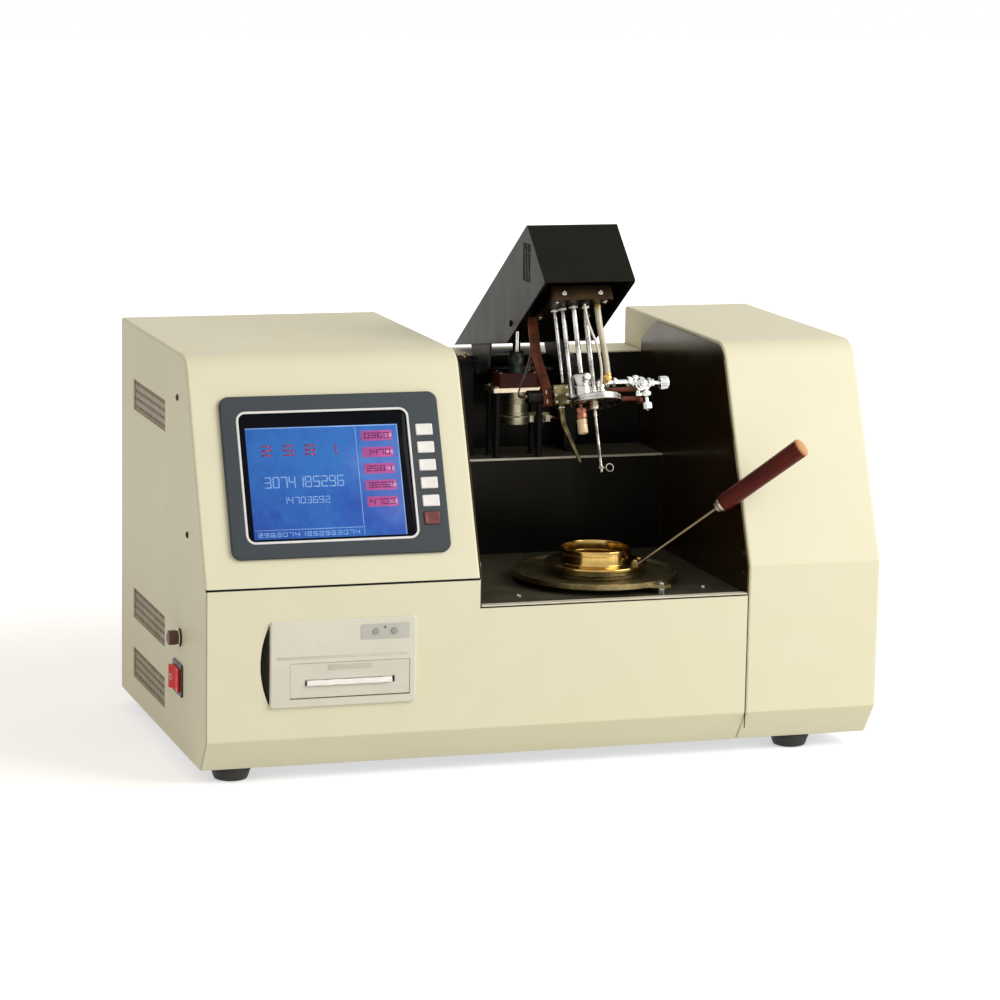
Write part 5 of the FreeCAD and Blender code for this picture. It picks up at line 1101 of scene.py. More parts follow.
class FLASH_OT_arm(Piece):
    """Arm box with its slats and hem, chassis, shaft and bearings"""
    bl_idname = "flash_tester.arm"
    bl_label = "Arm"

    def execute(self, context):
        own = look(context, "arm")
        paint = finish("Arm Satin Black", own.paint, (15, 15, 12), tone=(0.06, 0.7), rough=0.3,
                       spread=0.05, patch=0.06, grain=(0.0009, 0.00001, 0.35), edge=0.0008,
                       specular=0.07, tint=(1, 0.94, 0.7), wear=(0.0011, 0.4, (84, 80, 68), 0.38),
                       dust=0.04)
        dress(paint, "arm_cover")
        dress(finish("Chassis Black", (22, 21, 19), (32, 30, 27), tone=(0.03, 0.7), rough=0.42,
                     specular=0.3, wear=(0.0008, 0.5, (96, 90, 78), 0.38)), "arm_frame")
        oiled = metal("Oiled Shaft", (52, 49, 43), 0.3, second=(34, 31, 26), tone=(0.01, 0.8),
                      rings=(HINGE, RIGHT, 0.0008, 0.000006))
        dress(oiled, "arm_shaft")
        cast = finish("Bearing Paint", (24, 23, 21), (15, 15, 13), rough=0.5, specular=0.12,
                      grain=(0.0012, 0.00002, 0.4), wear=(0.001, 0.5, (74, 70, 62), 0.45))
        dress(cast, "arm_bearings")
        left = (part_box("arm_frame")[0].x - HINGE.x) / MM
        # The vents' middle in the box, 208.4 ahead of the hinge line and 17 above it, raised.
        y = -208.4 * cos(BOX_SLOPE) + 17 * sin(BOX_SLOPE)
        z = 208.4 * sin(BOX_SLOPE) + 17 * cos(BOX_SLOPE)

        def slat(middle_y, middle_z, half_y, half_z, x0, x1):
            y0, y1 = middle_y - half_y, middle_y + half_y
            z0, z1 = middle_z - half_z, middle_z + half_z
            return block, y0, y1, z0, z1, left + x0, left + x1, 0.25, ALONG_X

        piece("arm_vent_grille", paint, "arm", "arm_paint",
              *(slat(y - 9.6 + step * 4.8, z, 1.1, 17.9, 0.2, 1.3) for step in range(5)),
              *(slat(y, z + height, 11.9, 0.8, 0.5, 1.2) for height in (-9.0, 9.0)),
              place=about_hinge(0))
        hem = [(-244.0, -22.6), (-118.0, -22.6), (-118.0, -20.4), (-244.0, -20.4)]
        piece("arm_hems", paint, "arm", "arm_paint",
              *((prism, hem, x, x + 1.6, 0.4, ALONG_X) for x in (left + 1.7, -left - 3.3)),
              place=BOX)
        low, high = span("arm_shaft")
        y, z = (low.y + high.y) / 2, (low.z + high.z) / 2
        clip = [(6.02, 0), (7.8, 0), (7.9, 0.2), (7.9, 0.9), (7.7, 1.1), (6.02, 1.1), (6.02, 0)]
        piece("shaft_clips", oiled, "base", "shaft_steel",
              *((lathe, clip, stand((x, y, z), way), 48)
                for x, way in ((low.x + 1.2, RIGHT), (high.x - 1.2, LEFT))))
        low, high = span("arm_bearings")
        middles = (low.x + 6, high.x - 6)
        feet = []
        for x in middles:
            for near, far, screw in ((-20.0, -12.5, -16.4), (12.5, 20.0, 16.4)):
                feet += [(block, x - 6, x + 6, y + near, y + far, 255.1, 258.6, 0.5),
                         (screw_head, stand((x, y + screw, 258.6)), 2.6, 2.0, 0)]
        piece("bearing_feet", cast, "base", "bearing_paint", *feet)
        cup = [(0, 4.4), (1.0, 4.2), (1.6, 3.4), (1.2, 2.6), (1.0, 1.8), (2.4, 1.4), (2.4, 0),
               (0, 0)]
        piece("grease_cups", BRASS, "base", "bearing_paint",
              *((lathe, cup, stand((x, y, z + 12.45)), 24) for x in middles))
        return {"FINISHED"}


class FLASH_OT_lift(Piece):
    """Lift behind the bay: motor, plate, gearbox, guide and rod"""
    bl_idname = "flash_tester.lift"
    bl_label = "Lift"

    def execute(self, context):
        own = look(context, "arm")
        dress(NICKEL, "lift_bracket")
        dress(finish("Gearbox Paint", own.gearbox, (44, 17, 11), rough=0.4, specular=0.15,
                     grain=(0.001, 0.000012, 0.3), wear=(0.0009, 0.6, (150, 110, 90), 0.35)),
              "lift_gearbox")
        dress(CHROME, "lift_rod")
        low, high = span("lift_guide")
        x, y, height = (low.x + high.x) / 2, (low.y + high.y) / 2, high.z - low.z
        profile = [(4.05, 0), (8.0, 0), (8.0, height * 0.28), (7.4, height * 0.3),
                   (7.4, height * 0.38), (8.0, height * 0.4), (8.0, height * 0.68),
                   (6.9, height * 0.76), (6.8, height - 0.8), (6.2, height), (4.05, height),
                   (4.05, 0)]
        piece("rod_guide", metal("Guide Green", own.guide, 0.38, metallic=0.4, second=(34, 44, 36)),
              "base", "guide_green", (lathe, profile, shift(x, y, low.z)), replaces=("lift_guide",))
        low, high = span("lift_gearbox")
        on_box = [(screw_head, stand((*spot, high.z)), 2.0, 1.4, 0)
                  for spot in corners(low, high, 4, 4)]
        low, high = span("lift_bracket")
        posts = corners(low, high, 6, 3)
        piece("lift_screws", STEEL, "base", "lift_metal", *on_box,
              *((screw_head, stand((*spot, high.z)), 2.3, 1.5, 0) for spot in posts))
        sleeve = [(2.62, 0.1), (4.4, 0.1), (4.4, 1.4), (3.2, 1.7), (3.2, 65.8), (2.62, 65.8),
                  (2.62, 0.1)]
        piece("post_sleeves", RUBBER, "base", "lift_metal",
              *((lathe, sleeve, shift(*spot, 255), 32) for spot in posts))
        low, high = span("lift_motor")
        bottom, top = low.z, high.z
        can = metal("Motor Can", (168, 162, 136), 0.32, second=(104, 98, 72),
                    rings=(CASE @ Vector((x, y, 0)), UP, 0.0007, 0.000006))
        dress(can, "lift_motor")
        piece("motor_bands", can, "base", "lift_metal",
              *((hoop, 12.02, 12.5, 2.6, 0.2, shift(x, y, z), 64)
                for z in (bottom + 8.6, top - 4.2)),
              *((hoop, 12.02, 12.25, 1.0, 0.3, shift(x, y, top - 8.0 - index * 2.0), 64)
                for index in range(3)))
        # Three leads, each from its own collar on the terminals to the bay's back wall.
        apart, exit_z = 2.6, bottom + 4.8
        collar = [(0.95, 0), (1.9, 0), (1.9, 1.0), (1.4, 2.2), (0.95, 2.4), (0.95, 0)]
        piece("motor_terminals", plastic("Terminal Housing", (142, 136, 104), 0.4,
                                         second=(116, 110, 82)), "base", "lift_metal",
              (plate, x + 13.0, x + 35.2, y - 5.0, y + 5.0, bottom + 0.3, bottom + 9.4, 4.8, 0.8),
              *((lathe, collar, stand((x + 35.1, y + way * apart, exit_z), RIGHT), 20)
                for way in (-1, 0, 1)))
        for lead, way in zip(LEADS, (-1, 0, 1)):
            aside = way * apart
            wire(f"motor_lead_{way + 2}", lead, "base", 0.9,
                 [(x + 34.6, y + aside, exit_z), (x + 40, y + aside, exit_z),
                  (x + 45, y + aside + 6, bottom + 1), (x + 44, y + 28 + aside, bottom - 4),
                  (x + 40 + aside, 300, 262), (x + 40 + aside, 309, 262),
                  (x + 40 + aside, 312.2, 262)])
        return {"FINISHED"}


def on_head(name, material, slot, *forms, body="arm", replaces=()):
    """Piece of the head, drawn with the arm lowered."""
    piece(name, material, body, slot, *forms, replaces=replaces, place=HEAD)


class FLASH_OT_head(Piece):
    """Head under the arm: block, rods, disc, clamp, probe, ring and insulator"""
    bl_idname = "flash_tester.head"
    bl_label = "Head"

    def execute(self, context):
        dress(metal("Head Block", (50, 38, 25), 0.38, second=(28, 20, 13),
                    lines=((30, 2400, 2400), 0.000006)), "head_bracket")
        dress(metal("Rod Chrome", (212, 210, 202), 0.12, second=(78, 74, 66), tone=(0.022, 0.85),
                    spread=0.03, lines=((2400, 2400, 30), 0.000003)), "carrier_rods")
        dress(metal("Probe Steel", (176, 172, 160), 0.22, second=(70, 66, 58), tone=(0.009, 0.9)),
              "temperature_probe", "detector_ring")
        axis = (HEAD.to_3x3() @ Vector(UP)).normalized()
        spun = metal("Spun Steel", (196, 194, 186), 0.18, second=(112, 108, 98),
                     rings=(HEAD @ Vector((*DISC_SPOT, 0)), axis, 0.0006, 0.000008))
        disc = [(0, 0), (22.8, 0), (24.0, 0.4), (24.5, 1.0), (24.5, 2.2), (24.1, 2.5), (24.1, 3.0),
                (24.5, 3.3), (24.5, 6.0), (24.0, 6.6), (22.8, 7), (19.4, 7), (19.0, 6.5),
                (12.6, 6.5), (12.2, 7), (0, 7)]
        on_head("rod_disc", spun, "disc_metal", (lathe, disc, shift(*DISC_SPOT, DISC_FOOT), 128),
                replaces=("carrier_disc",))
        clamp = [(0, 0), (8.2, 0), (8.5, 0.4), (8.5, 8.8), (7.7, 9.9), (7.7, 11), (8.5, 12.1),
                 (8.5, 19.4), (8.0, 20.6), (6.3, 22), (0, 22)]
        on_head("clamp_sleeve", STEEL, "clamp_metal", (lathe, clamp, shift(-6, -210, DISC_TOP), 72),
                replaces=("probe_clamp",))
        # The four rods with their radii; the first two have nuts on the disc as well.
        rods = ((6, -207.3, 2.75), (-14.7, -203, 2.15), (-6, -210, 2.45), (-21, -198, 1.75))
        on_head("rod_nuts", STEEL, "head_metal",
                *((hexagon, bore * 2 + 4.6, DISC_TOP + 0.02, DISC_TOP + 3.6, shift(x, y), bore)
                  for x, y, bore in rods[:2]),
                *((hexagon, bore * 2 + 3.6, 2.2, BRACKET_FOOT, shift(x, y), bore)
                  for x, y, bore in rods))
        on_head("head_screws", STEEL, "screw_steel",
                *((screw_head, stand((x, y, BRACKET_FOOT), DOWN), 2.6, 1.8, 0)
                  for x in (-26, 22) for y in (-221, -168)),
                *((screw_head, stand((x, -228.0, 13), FRONT), 2.6, 1.8, 0) for x in (-20, 16)))
        thumb_z = DISC_TOP + 15.6
        on_head("clamp_thumbscrew", STEEL, "clamp_metal",
                (rod, 1.4, 0, 4.2, stand((-6, -218.2, thumb_z), FRONT), 24),
                (knurled, 3.6, 5.4, 12, stand((-6, -222.0, thumb_z), FRONT), 0.1))
        probe_spot = (5, -206.5)
        on_head("probe_gland", NICKEL, "probe_steel",
                (hexagon, 8.2, DISC_FOOT - 4.6, DISC_FOOT - 0.02, shift(*probe_spot), 3.42),
                *((hoop, 1.62, 2.1, 0.8, 0.1, shift(*probe_spot, DISC_FOOT - 8.0 - index * 1.1))
                  for index in range(4)))
        # The flame sensor hangs from the disc: a copper cap, then its glazed insulator.
        sensor = shift(-8, -204, DISC_FOOT)
        cap = [(0, 0), (2.2, 0), (2.2, -3), (5.0, -3), (5.8, -3.4), (6.0, -4.2), (6.0, -7.0),
               (5.5, -7.6), (5.5, -8.2), (6.0, -8.8), (6.0, -12.8), (5.5, -13.6), (4.7, -13.8),
               (0, -13.8)]
        on_head("sensor_cap", metal("Copper Cap", (158, 106, 84), 0.32, second=(92, 54, 42),
                                    tone=(0.006, 0.9)), "flame_metal", (lathe, cap, sensor))
        insulator = [(0, -13), (4.8, -13), (4.8, -17), (4.4, -17.4), (4.4, -18), (4.8, -18.4),
                     (4.8, -26.2), (4.4, -26.9), (2.6, -27), (2.4, -26.4), (0, -26.2)]
        on_head("sensor_insulator", finish("Glazed Insulator", (228, 206, 164), (206, 178, 128),
                                           tone=(0.006, 0.8), rough=0.22, coat=0.4,
                                           grain=(0.0006, 0.000006, 0.3)), "insulator",
                (lathe, insulator, sensor), replaces=("flame_sensor",))
        # Two leads run from the disc up to the bracket; their heights are from the disc's top.
        wire("probe_lead", plastic("Silicone Lead", (224, 218, 204), 0.35), "arm",
             1.2, [(x, y, DISC_TOP + up) for x, y, up in (
                 (10.5, -214, 0), (10.5, -214, 7), (13, -217, 22), (11, -219, 46), (3, -222, 66),
                 (1, -222, 80), (1, -222, 89.8))], HEAD)
        wire("sensor_lead", RUBBER, "arm", 1.0, [
            (x, y, DISC_TOP + up) for x, y, up in (
                (-10, -195, 0), (-10, -195, 8), (-14, -191, 26), (-17, -186, 52), (-18, -184, 76),
                (-18, -184, 89.8))], HEAD)
        glands = []
        for r, disc_end, bracket_end in ((1.25, (10.5, -214), (1, -222)),
                                         (1.05, (-10, -195), (-18, -184))):
            glands += [
                (lathe, [(r, 0), (r + 1.5, 0), (r + 1.5, 1.2), (r + 0.8, 2.6), (r, 2.8), (r, 0)],
                 shift(*disc_end, DISC_TOP + 0.01), 24),
                (lathe, [(r, 0), (r + 1.4, 0), (r + 1.4, -1.2), (r + 0.7, -2.4), (r, -2.6), (r, 0)],
                 shift(*bracket_end, BRACKET_FOOT), 24)]
        on_head("lead_glands", RUBBER, "hose_rubber", *glands)
        return {"FINISHED"}


class FLASH_OT_gas_supply(Piece):
    """Gas fitting, pipe, needle valves with their knobs, and the hose"""
    bl_idname = "flash_tester.gas_supply"
    bl_label = "Gas supply"

    def execute(self, context):
        dress(finish("Pale Hose", (206, 200, 176), (178, 170, 142), tone=(0.01, 0.7), rough=0.3,
                     grain=(0.0005, 0.000006, 0.3), coat=0.3), "gas_hose")
        place = shift(13.5, VALVE_Y, DISC_TOP)
        on_head(
            "gas_fitting", CHROME, "valve_chrome", (hexagon, 11.0, 0.02, 5.6, place),
            (lathe, [(0, 5.4), (4.6, 5.6), (4.6, 6.6), (3.9, 7.2), (3.9, 9.0), (4.4, 9.6),
                     (4.4, 14.0), (4.0, 15.6), (3.0, 17.0), (1.6, 17.6), (0, 17.7)], place, 48),
            *((hexagon, across, 0, long, stand((x, VALVE_Y, PIPE_Z), RIGHT))
              for x, across, long in ((18.0, 8.4, 4.2), (26.4, 7.6, 3.4), (40.6, 8.8, 4.2))),
            (rod, 2.3, 16, 46, stand((0, VALVE_Y, PIPE_Z), RIGHT)),
            (lathe, [(0, 0), (2.6, 0.2), (2.6, 5.4), (2.0, 6.0), (0, 6.0)],
             stand((22, VALVE_Y, PIPE_Z)), 32), replaces=("gas_manifold",))
        main = stand((0, VALVE_Y, VALVE_Z), RIGHT)
        pilot = stand((58.2, VALVE_Y, VALVE_Z), DOWN)
        on_head(
            "needle_valves", CHROME, "valve_chrome",
            (lathe, [(0, 44.8), (2.9, 44.8), (3.3, 45.4), (3.3, 47.4), (2.5, 48.0), (2.5, 49.0),
                     (4.6, 49.8), (6.0, 51.6), (6.4, 54.0), (6.0, 56.4), (4.6, 58.2), (2.7, 59.0),
                     (2.7, 60.4), (4.7, 60.9), (5.1, 61.5), (5.1, 63.0), (3.2, 63.6), (3.2, 64.2),
                     (3.9, 64.6), (3.9, 66.6), (0, 66.8)], main, 56),
            (hexagon, 9.4, 46.0, 49.2, main),
            (lathe, [(0, -1), (2.4, -1), (2.4, 3.2), (3.8, 3.8), (4.3, 4.8), (4.3, 6.4), (3.0, 7.2),
                     (3.0, 8.0), (5.2, 8.8), (5.6, 10.0), (5.6, 12.2), (4.8, 13.2), (3.0, 13.5),
                     (0, 13.5)], pilot, 48),
            (hexagon, 8.6, 8.6, 11.6, pilot),
            (lathe, [(0, 0), (4.6, 0), (5.0, 0.7), (5.0, 4.6), (3.4, 5.4), (3.4, 6.6), (3.95, 7.0),
                     (3.95, 9.6), (2.9, 10.2), (2.9, 12.4), (3.5, 13.0), (3.5, 14.6), (2.3, 15.6),
                     (0, 15.8)], stand((51.0, -208.8, VALVE_Z - 3.6), FRONT), 48),
            (lathe, [(0, 0), (2.4, 0), (2.4, 2.0), (3.4, 2.8), (3.6, 4.4), (2.6, 5.4), (1.4, 5.9),
                     (0, 6.0)], stand((49.2, VALVE_Y, VALVE_Z + 2)), 40),
            (lathe, [(0, 0), (2.3, 0), (2.3, 4.0), (3.0, 4.6), (3.0, 6.8), (2.0, 7.6), (0, 7.8)],
             stand((50.2, VALVE_Y, VALVE_Z - 5.6), DOWN), 40))
        place = stand((18.4, -209.8, PIPE_Z + 2.0), FRONT)
        on_head("brass_bleed", BRASS, "valve_chrome", (hexagon, 7.2, 0, 3.2, place),
                (lathe, [(0, 3.0), (2.2, 3.0), (2.2, 6.0), (3.0, 6.6), (3.0, 8.4), (2.0, 9.2),
                         (0, 9.4)], place, 32))
        for end, spot, axis, radius, size, ribs in (
                ("main", (67.3, VALVE_Y, VALVE_Z), RIGHT, 6.4, 9.0, 20),
                ("pilot", (58.2, VALVE_Y, VALVE_Z - 13.9), DOWN, 4.6, 7.0, 16)):
            foot = Vector(spot) + Vector(axis) * 5
            on_head(f"gas_knob_{end}_knurled", CHROME, "knob_metal",
                    (rod, 2.0, 0, 5.2, stand(spot, axis)),
                    (knurled, radius, size, ribs, stand(foot, axis), 0.1),
                    body=f"knob_{end}", replaces=(f"gas_knob_{end}",))
        on_head("hose_clips", BRASS, "valve_chrome",
                *((hoop, 3.05, 3.7, 2.8, 0.2, shift(*spot), 40)
                  for spot in ((22, VALVE_Y, PIPE_Z + 5.6), (18, -209, 2.4))))
        return {"FINISHED"}


class FLASH_OT_flame_sweep(Piece):
    """Cranked bar with its rails and motor, and the carriage with the flame tube"""
    bl_idname = "flash_tester.flame_sweep"
    bl_label = "Flame sweep"

    def execute(self, context):
        own = look(context, "arm")
        dress(metal("Copper Brown Bar", own.bar, 0.46, metallic=0.35, second=(66, 34, 22),
                    tone=(0.012, 0.9), specular=0.2, wear=(0.0007, 0.5, (186, 130, 92), 0.3)),
              "sweep_bracket")
        dress(metal("Flame Tube", (136, 126, 88), 0.34, second=(74, 62, 36), tone=(0.008, 0.9)),
              "flame_tube")
        collar = [(2.32, 0), (3.3, 0), (3.4, 0.2), (3.4, 1.6), (3.2, 1.8), (2.32, 1.8), (2.32, 0)]
        on_head("rail_collars", STEEL, "bar_copper",
                *((lathe, collar, stand((x, RAIL_Y, z), RIGHT), 32)
                  for z in (RAIL_Z, RAIL_Z + 9) for x in (-29.9, 63.4)))
        x0, z, apart = -48.3, RAIL_Z + 4.5, 2.6
        drive = [(0, 0), (5.2, 0), (6.2, 0.5), (6.5, 1.4), (6.5, 3.0), (6.2, 3.2), (6.2, 3.8),
                 (6.5, 4.0), (6.5, 14.6), (6.3, 15.0), (0, 15.0)]
        on_head("sweep_drive", metal("Black Anodised", (46, 44, 40), 0.4, second=(30, 29, 26),
                                     lines=((2400, 30, 30), 0.000004)), "sweep_motor_case",
                (lathe, drive, stand((x0, RAIL_Y, z), RIGHT)), replaces=("sweep_motor",))
        tabs = [RAIL_Y + way * apart for way in (-1, 1)]
        on_head("sweep_drive_tabs", BRASS, "sweep_motor_case",
                *((block, x0 - 1.6, x0 + 0.1, y - 0.5, y + 0.5, z - 1.2, z + 1.2, 0.15)
                  for y in tabs))
        for index, y in enumerate(tabs):
            end_x = -31 + index * 4
            wire(f"sweep_lead_{index + 1}", LEADS[index], "arm", 0.8,
                 [(x0 - 1.2, y, z), (x0 - 4.2, y + 0.2, z + 0.2), (x0 - 5.6, y + 3.4, z + 1.6),
                  (x0 - 4.6, -158, z + 7), (x0 + 2, -153, z + 18), (-36 + index * 3, -151, z + 40),
                  (end_x, -153, -14), (end_x, -156, 0), (end_x, -156, 6)], HEAD)
        on_head("carriage_screws", STEEL, "flame_metal",
                *((screw_head, stand((x, -174.5, RAIL_Z + up), FRONT), 1.5, 1.0, 0)
                  for x in (-20.4, -9.6) for up in (-2.4, 4.5, 11.4)),
                (lathe, [(3.62, 0), (4.4, 0.1), (4.4, 1.6), (3.62, 1.8), (3.62, 0)],
                 stand((-15, -168.2, RAIL_Z - 8.4)), 32), body="flame")
        return {"FINISHED"}


class FLASH_OT_back(Piece):
    """Power inlet, gas inlet and the screws of the rear panel"""
    bl_idname = "flash_tester.back"
    bl_label = "Back"

    def execute(self, context):
        dress(plastic("Inlet Black", (24, 24, 24), 0.38), "power_inlet")
        low, high = span("gas_inlet")
        back = 366
        place = stand(((low.x + high.x) / 2, back, (low.z + high.z) / 2), BACK)
        barbs = [(1.8, 6), (4.0, 6), (4.0, 8)]
        for index in range(4):
            y = 8.5 + index * 3.2
            barbs += [(3.2, y), (3.95, y + 0.5), (3.1, y + 2.9)]
        barbs += [(2.9, 21.9), (1.8, 22.0), (1.8, 6)]
        piece("gas_spigot", BRASS, "base", "inlet_brass", (hexagon, 13.8, 0, 6.0, place),
              (lathe, barbs, place, 48),
              (lathe, [(1.8, -12), (5.0, -12), (5.0, 0), (1.8, 0), (1.8, -12)], place, 48),
              replaces=("gas_inlet",))
        spots = ((20, 30), (20, 200), (20, 372), (130, 372), (240, 372), (250, 30), (300, 30),
                 (393, 30), (486, 30), (640, 30), (640, 200), (640, 372), (540, 372), (300, 335),
                 (486, 335))
        piece("rear_screws", STEEL, "base", "screw_steel",
              *((screw_head, stand((x, back, z), BACK), 3.0, 1.7, 0) for x, z in spots),
              *((screw_head, stand((x, back + 3, 72), BACK), 2.2, 1.3, 0) for x in (59.5, 100.5)))
        return {"FINISHED"}


class FLASH_OT_inside(Piece):
    """Power supply and control board inside the case"""
    bl_idname = "flash_tester.inside"
    bl_label = "Inside"

    def execute(self, context):
        dress(metal("Supply Sheet", (182, 184, 184), 0.38, second=(150, 152, 154),
                    lines=((40, 2000, 2000), 0.000004)), "power_supply")
        dress(finish("Board Green", (26, 84, 50), (18, 64, 38), tone=(0.01, 0.8), rough=0.3,
                     coat=0.4, grain=(0.0004, 0.00002, 0.2)), "control_board")
        low, high = span("power_supply")
        starts = [low.y + 14 + index * 8.6 for index in range(9)]
        piece("supply_louvres", RUBBER, "base", "supply_case",
              *((plate, low.x + 16, low.x + 76, y, y + 3.4, high.z, high.z + 0.25, 1.6, 0.08)
                for y in starts))
        low, high = span("control_board")
        can = [(0, 0), (4.6, 0), (5.0, 0.6), (5.0, 1.4), (4.7, 1.8), (5.0, 2.2), (5.0, 13.4),
               (4.4, 14.0), (0, 13.8)]
        piece("board_cans", plastic("Can Sleeve", (40, 44, 70), 0.3), "base", "board_green",
              *((lathe, can, shift(low.x + 14, low.y + 30 + index * 28, high.z - 11), 40)
                for index in range(4)))
        return {"FINISHED"}


class FLASH_OT_feet_and_screws(Piece):
    """Rubber feet and the case's cross-recess screws"""
    bl_idname = "flash_tester.feet_and_screws"
    bl_label = "Feet and screws"

    def execute(self, context):
        foot = [(0, 0), (13.0, 0), (15.2, 0.8), (16.2, 2.6), (18.2, 8.8), (18.6, 9.2), (18.4, 9.8),
                (19.0, 10.2), (19.0, 13.0), (18.6, 13.7), (17.6, 14.0), (0, 14.0)]
        piece("rubber_feet", finish("Foot Rubber", (26, 25, 24), (40, 38, 36), tone=(0.01, 0.7),
                                    rough=0.6, grain=(0.0006, 0.00003, 0.3), dust=0.2),
              "base", "foot_rubber",
              *((lathe, foot, shift(x, y), 72) for x in (35, 590) for y in (45, 322)),
              replaces=("feet",))
        side = span("right_cover")[1].x
        # Each is (spot, axis, turn), with (radius, height) where that isn't the usual one.
        lid = (445.97, 23.09)
        bright = (((261.5, 12, 178), RIGHT, 4, 3.6, 2.6), ((261.5, 12, 197), RIGHT, 5, 3.6, 2.6),
                  ((310, 40, 160), UP, 8), ((495, 40, 160), UP, 9), ((*lid, 169), UP, 10))
        dark = (((0, 115, 346), LEFT, 0), ((0, 72, 225), LEFT, 1), ((side, 115, 346), RIGHT, 2),
                ((side, 72, 225), RIGHT, 3), ((524.5, 12, 178), LEFT, 6),
                ((524.5, 12, 197), LEFT, 7))
        bright, dark = ([(screw_head, stand(spot, axis, turn * 0.7), *size)
                         for spot, axis, turn, *size in group] for group in (bright, dark))
        piece("case_screws", STEEL, "base", "screw_steel", *bright,
              (rod, 4, 160.02, 165.98, shift(*lid), 40), replaces=("screws",))
        piece("side_screws", metal("Blackened Steel", (58, 52, 44), 0.42, second=(36, 32, 27)),
              "base", "screw_steel", *dark)
        return {"FINISHED"}


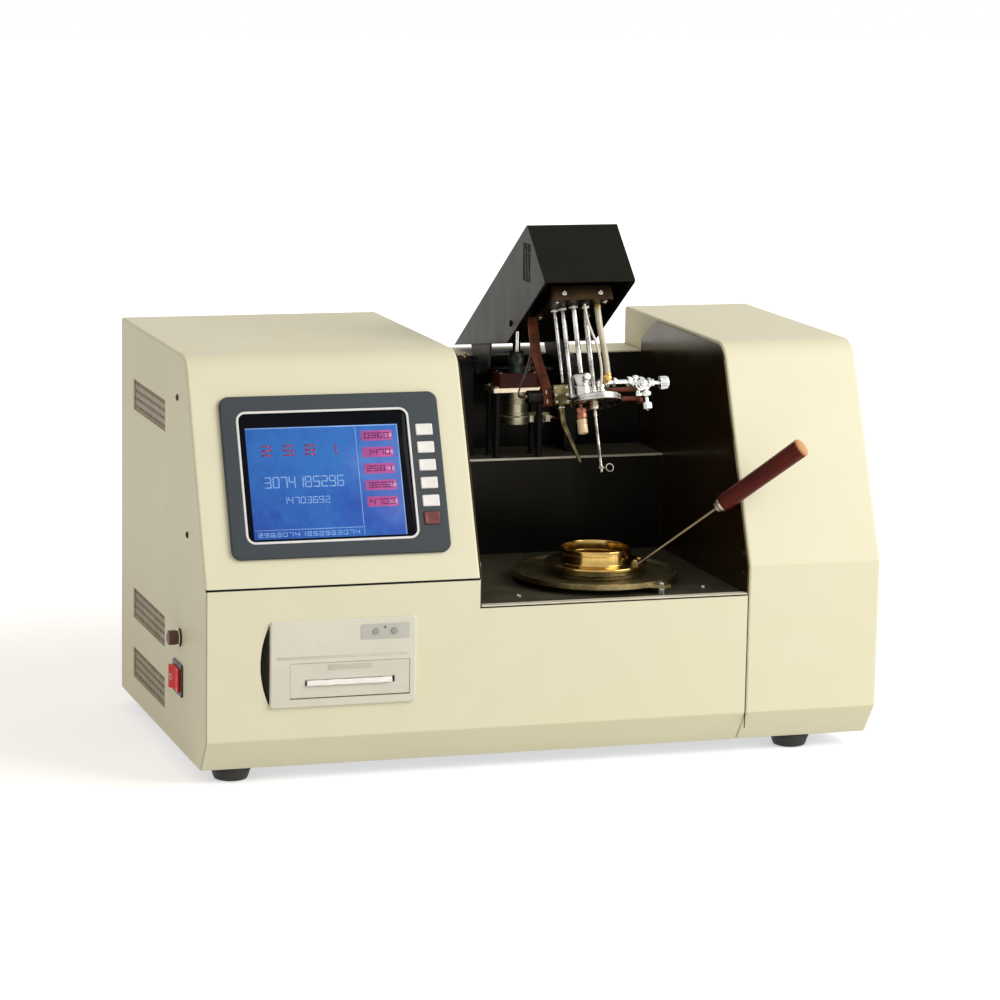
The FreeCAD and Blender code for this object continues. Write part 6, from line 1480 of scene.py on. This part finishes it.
class FLASH_OT_stage(Piece):
    """Pale floor, soft light and the camera"""
    bl_idname = "flash_tester.stage"
    bl_label = "Stage"

    def execute(self, context):
        own = look(context, "stage")
        scene = context.scene
        scene.view_settings.view_transform = "Standard"
        self.floor(scene, own)
        self.sky(scene, own)
        self.lamps(scene, own)
        self.camera(scene, own)
        return {"FINISHED"}

    def floor(self, scene, own):
        """Pale floor that keeps the shadow near the tester and fades to white further off."""
        bm = bmesh.new()
        bmesh.ops.create_grid(bm, x_segments=8, y_segments=8, size=9.0)
        bm.transform(shift(0, 3, -0.0002))
        mesh = bpy.data.meshes.new("floor")
        bm.to_mesh(mesh)
        bm.free()
        material, tree, shader = new_material("Pale Floor")
        pale = linear(own.floor)
        fill(tree, shader, Roughness=0.9, Specular_IOR_Level=0.0,
             Base_Color=use(tree, "Uneven Tone", Color=pale, Second_Color=pale, Size=0.8,
                            Amount=0.2)[0])
        away = vector_maths(tree, "LENGTH", spot_of(tree), result=1)
        lift = blend_value(tree, stretch(tree, away, 0.5, 1.4), 0.5, 0.95)
        glow = new_node(tree, "ShaderNodeEmission")
        fill(tree, glow, Strength=times(tree, seen_directly(tree), lift))
        both = new_node(tree, "ShaderNodeAddShader", shader.outputs[0], glow.outputs[0])
        fill(tree, tree.nodes["Material Output"], Surface=both.outputs[0])
        mesh.materials.append(material)
        floor = bpy.data.objects.new("floor", mesh)
        scene.collection.objects.link(floor)

    def sky(self, scene, own):
        """Warm light from all round, behind a background that looks white."""
        world = bpy.data.worlds.new("Sky")
        scene.world = world
        world.use_nodes = True
        tree = world.node_tree
        seen = seen_directly(tree)
        fill(tree, tree.nodes["Background"], Strength=blend_value(tree, seen, own.sky, 1.0),
             Color=blend_colour(tree, seen, (1.0, 0.9, 0.8), (1, 1, 1)))

    def lamps(self, scene, own):
        """Key light from the front right and a weak, wide fill from the front left."""
        middle, away = Vector((0, 0, 0.2)), 3.0
        for name, toward, strength, size in (("key", (0.66, -0.57, 0.49), own.sun, 1.9),
                                             ("fill", (-0.7, -0.5, 0.5), own.sun * 0.08, 3.0)):
            lamp = bpy.data.lights.new(name, "AREA")
            lamp.energy = strength * pi * away ** 2
            lamp.size = size
            lamp.color = (1.0, 0.99, 0.99)
            thing = bpy.data.objects.new(name, lamp)
            way = Vector(toward).normalized()
            thing.matrix_world = (Matrix.Translation(middle + way * away)
                                  @ way.to_track_quat("Z", "Y").to_matrix().to_4x4())
            scene.collection.objects.link(thing)

    def camera(self, scene, own):
        """Camera at the photograph's viewing angle."""
        turn, tip, roll = radians(17.748), radians(10.223), radians(1.033)
        ahead = Vector((sin(turn) * cos(tip), cos(turn) * cos(tip), -sin(tip)))
        right = Vector((cos(turn), -sin(turn), 0))
        up = right.cross(ahead)
        view = Matrix((right * cos(roll) + up * sin(roll), up * cos(roll) - right * sin(roll),
                       -ahead)).transposed().to_4x4()
        lens = bpy.data.cameras.new("camera")
        lens.lens = own.focal
        lens.sensor_width = 36
        lens.clip_end = 50
        camera = bpy.data.objects.new("camera", lens)
        camera.matrix_world = Matrix.Translation(CASE @ Vector((-737.9, -3171.7, 860.4))) @ view
        scene.collection.objects.link(camera)
        scene.camera = camera


OPERATORS = (FLASH_OT_case, FLASH_OT_bay, FLASH_OT_screen, FLASH_OT_keys, FLASH_OT_printer,
             FLASH_OT_side_fittings, FLASH_OT_plate_and_cup, FLASH_OT_handle, FLASH_OT_arm,
             FLASH_OT_lift, FLASH_OT_head, FLASH_OT_gas_supply, FLASH_OT_flame_sweep, FLASH_OT_back,
             FLASH_OT_inside, FLASH_OT_feet_and_screws, FLASH_OT_stage)


class FLASH_PT_sidebar(bpy.types.Panel):
    """Lists the tester's pieces and settings"""
    bl_idname = "FLASH_PT_sidebar"
    bl_label = "Flash Tester"
    bl_space_type = "VIEW_3D"
    bl_region_type = "UI"
    bl_category = "Flash Tester"

    def draw(self, context):
        for operator in OPERATORS:
            self.layout.operator(operator.bl_idname)
        for name, group in LOOKS.items():
            part = self.layout.box()
            part.label(text=name.title())
            for setting in group.__annotations__:
                part.prop(look(context, name), setting)


def register():
    for name, group in LOOKS.items():
        bpy.utils.register_class(group)
        setattr(bpy.types.Scene, f"flash_tester_{name}", bpy.props.PointerProperty(type=group))
    for added in OPERATORS + (FLASH_PT_sidebar,):
        bpy.utils.register_class(added)


def unregister():
    for added in reversed(OPERATORS + (FLASH_PT_sidebar,)):
        bpy.utils.unregister_class(added)
    for name, group in LOOKS.items():
        delattr(bpy.types.Scene, f"flash_tester_{name}")
        bpy.utils.unregister_class(group)


def write_sizes():
    """Brings the placements in the view layer up to date."""
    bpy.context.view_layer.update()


def main():
    register()
    for operator in OPERATORS:
        family, name = operator.bl_idname.split(".")
        getattr(getattr(bpy.ops, family), name)()
    write_sizes()


if __name__ == "__main__":
    main()
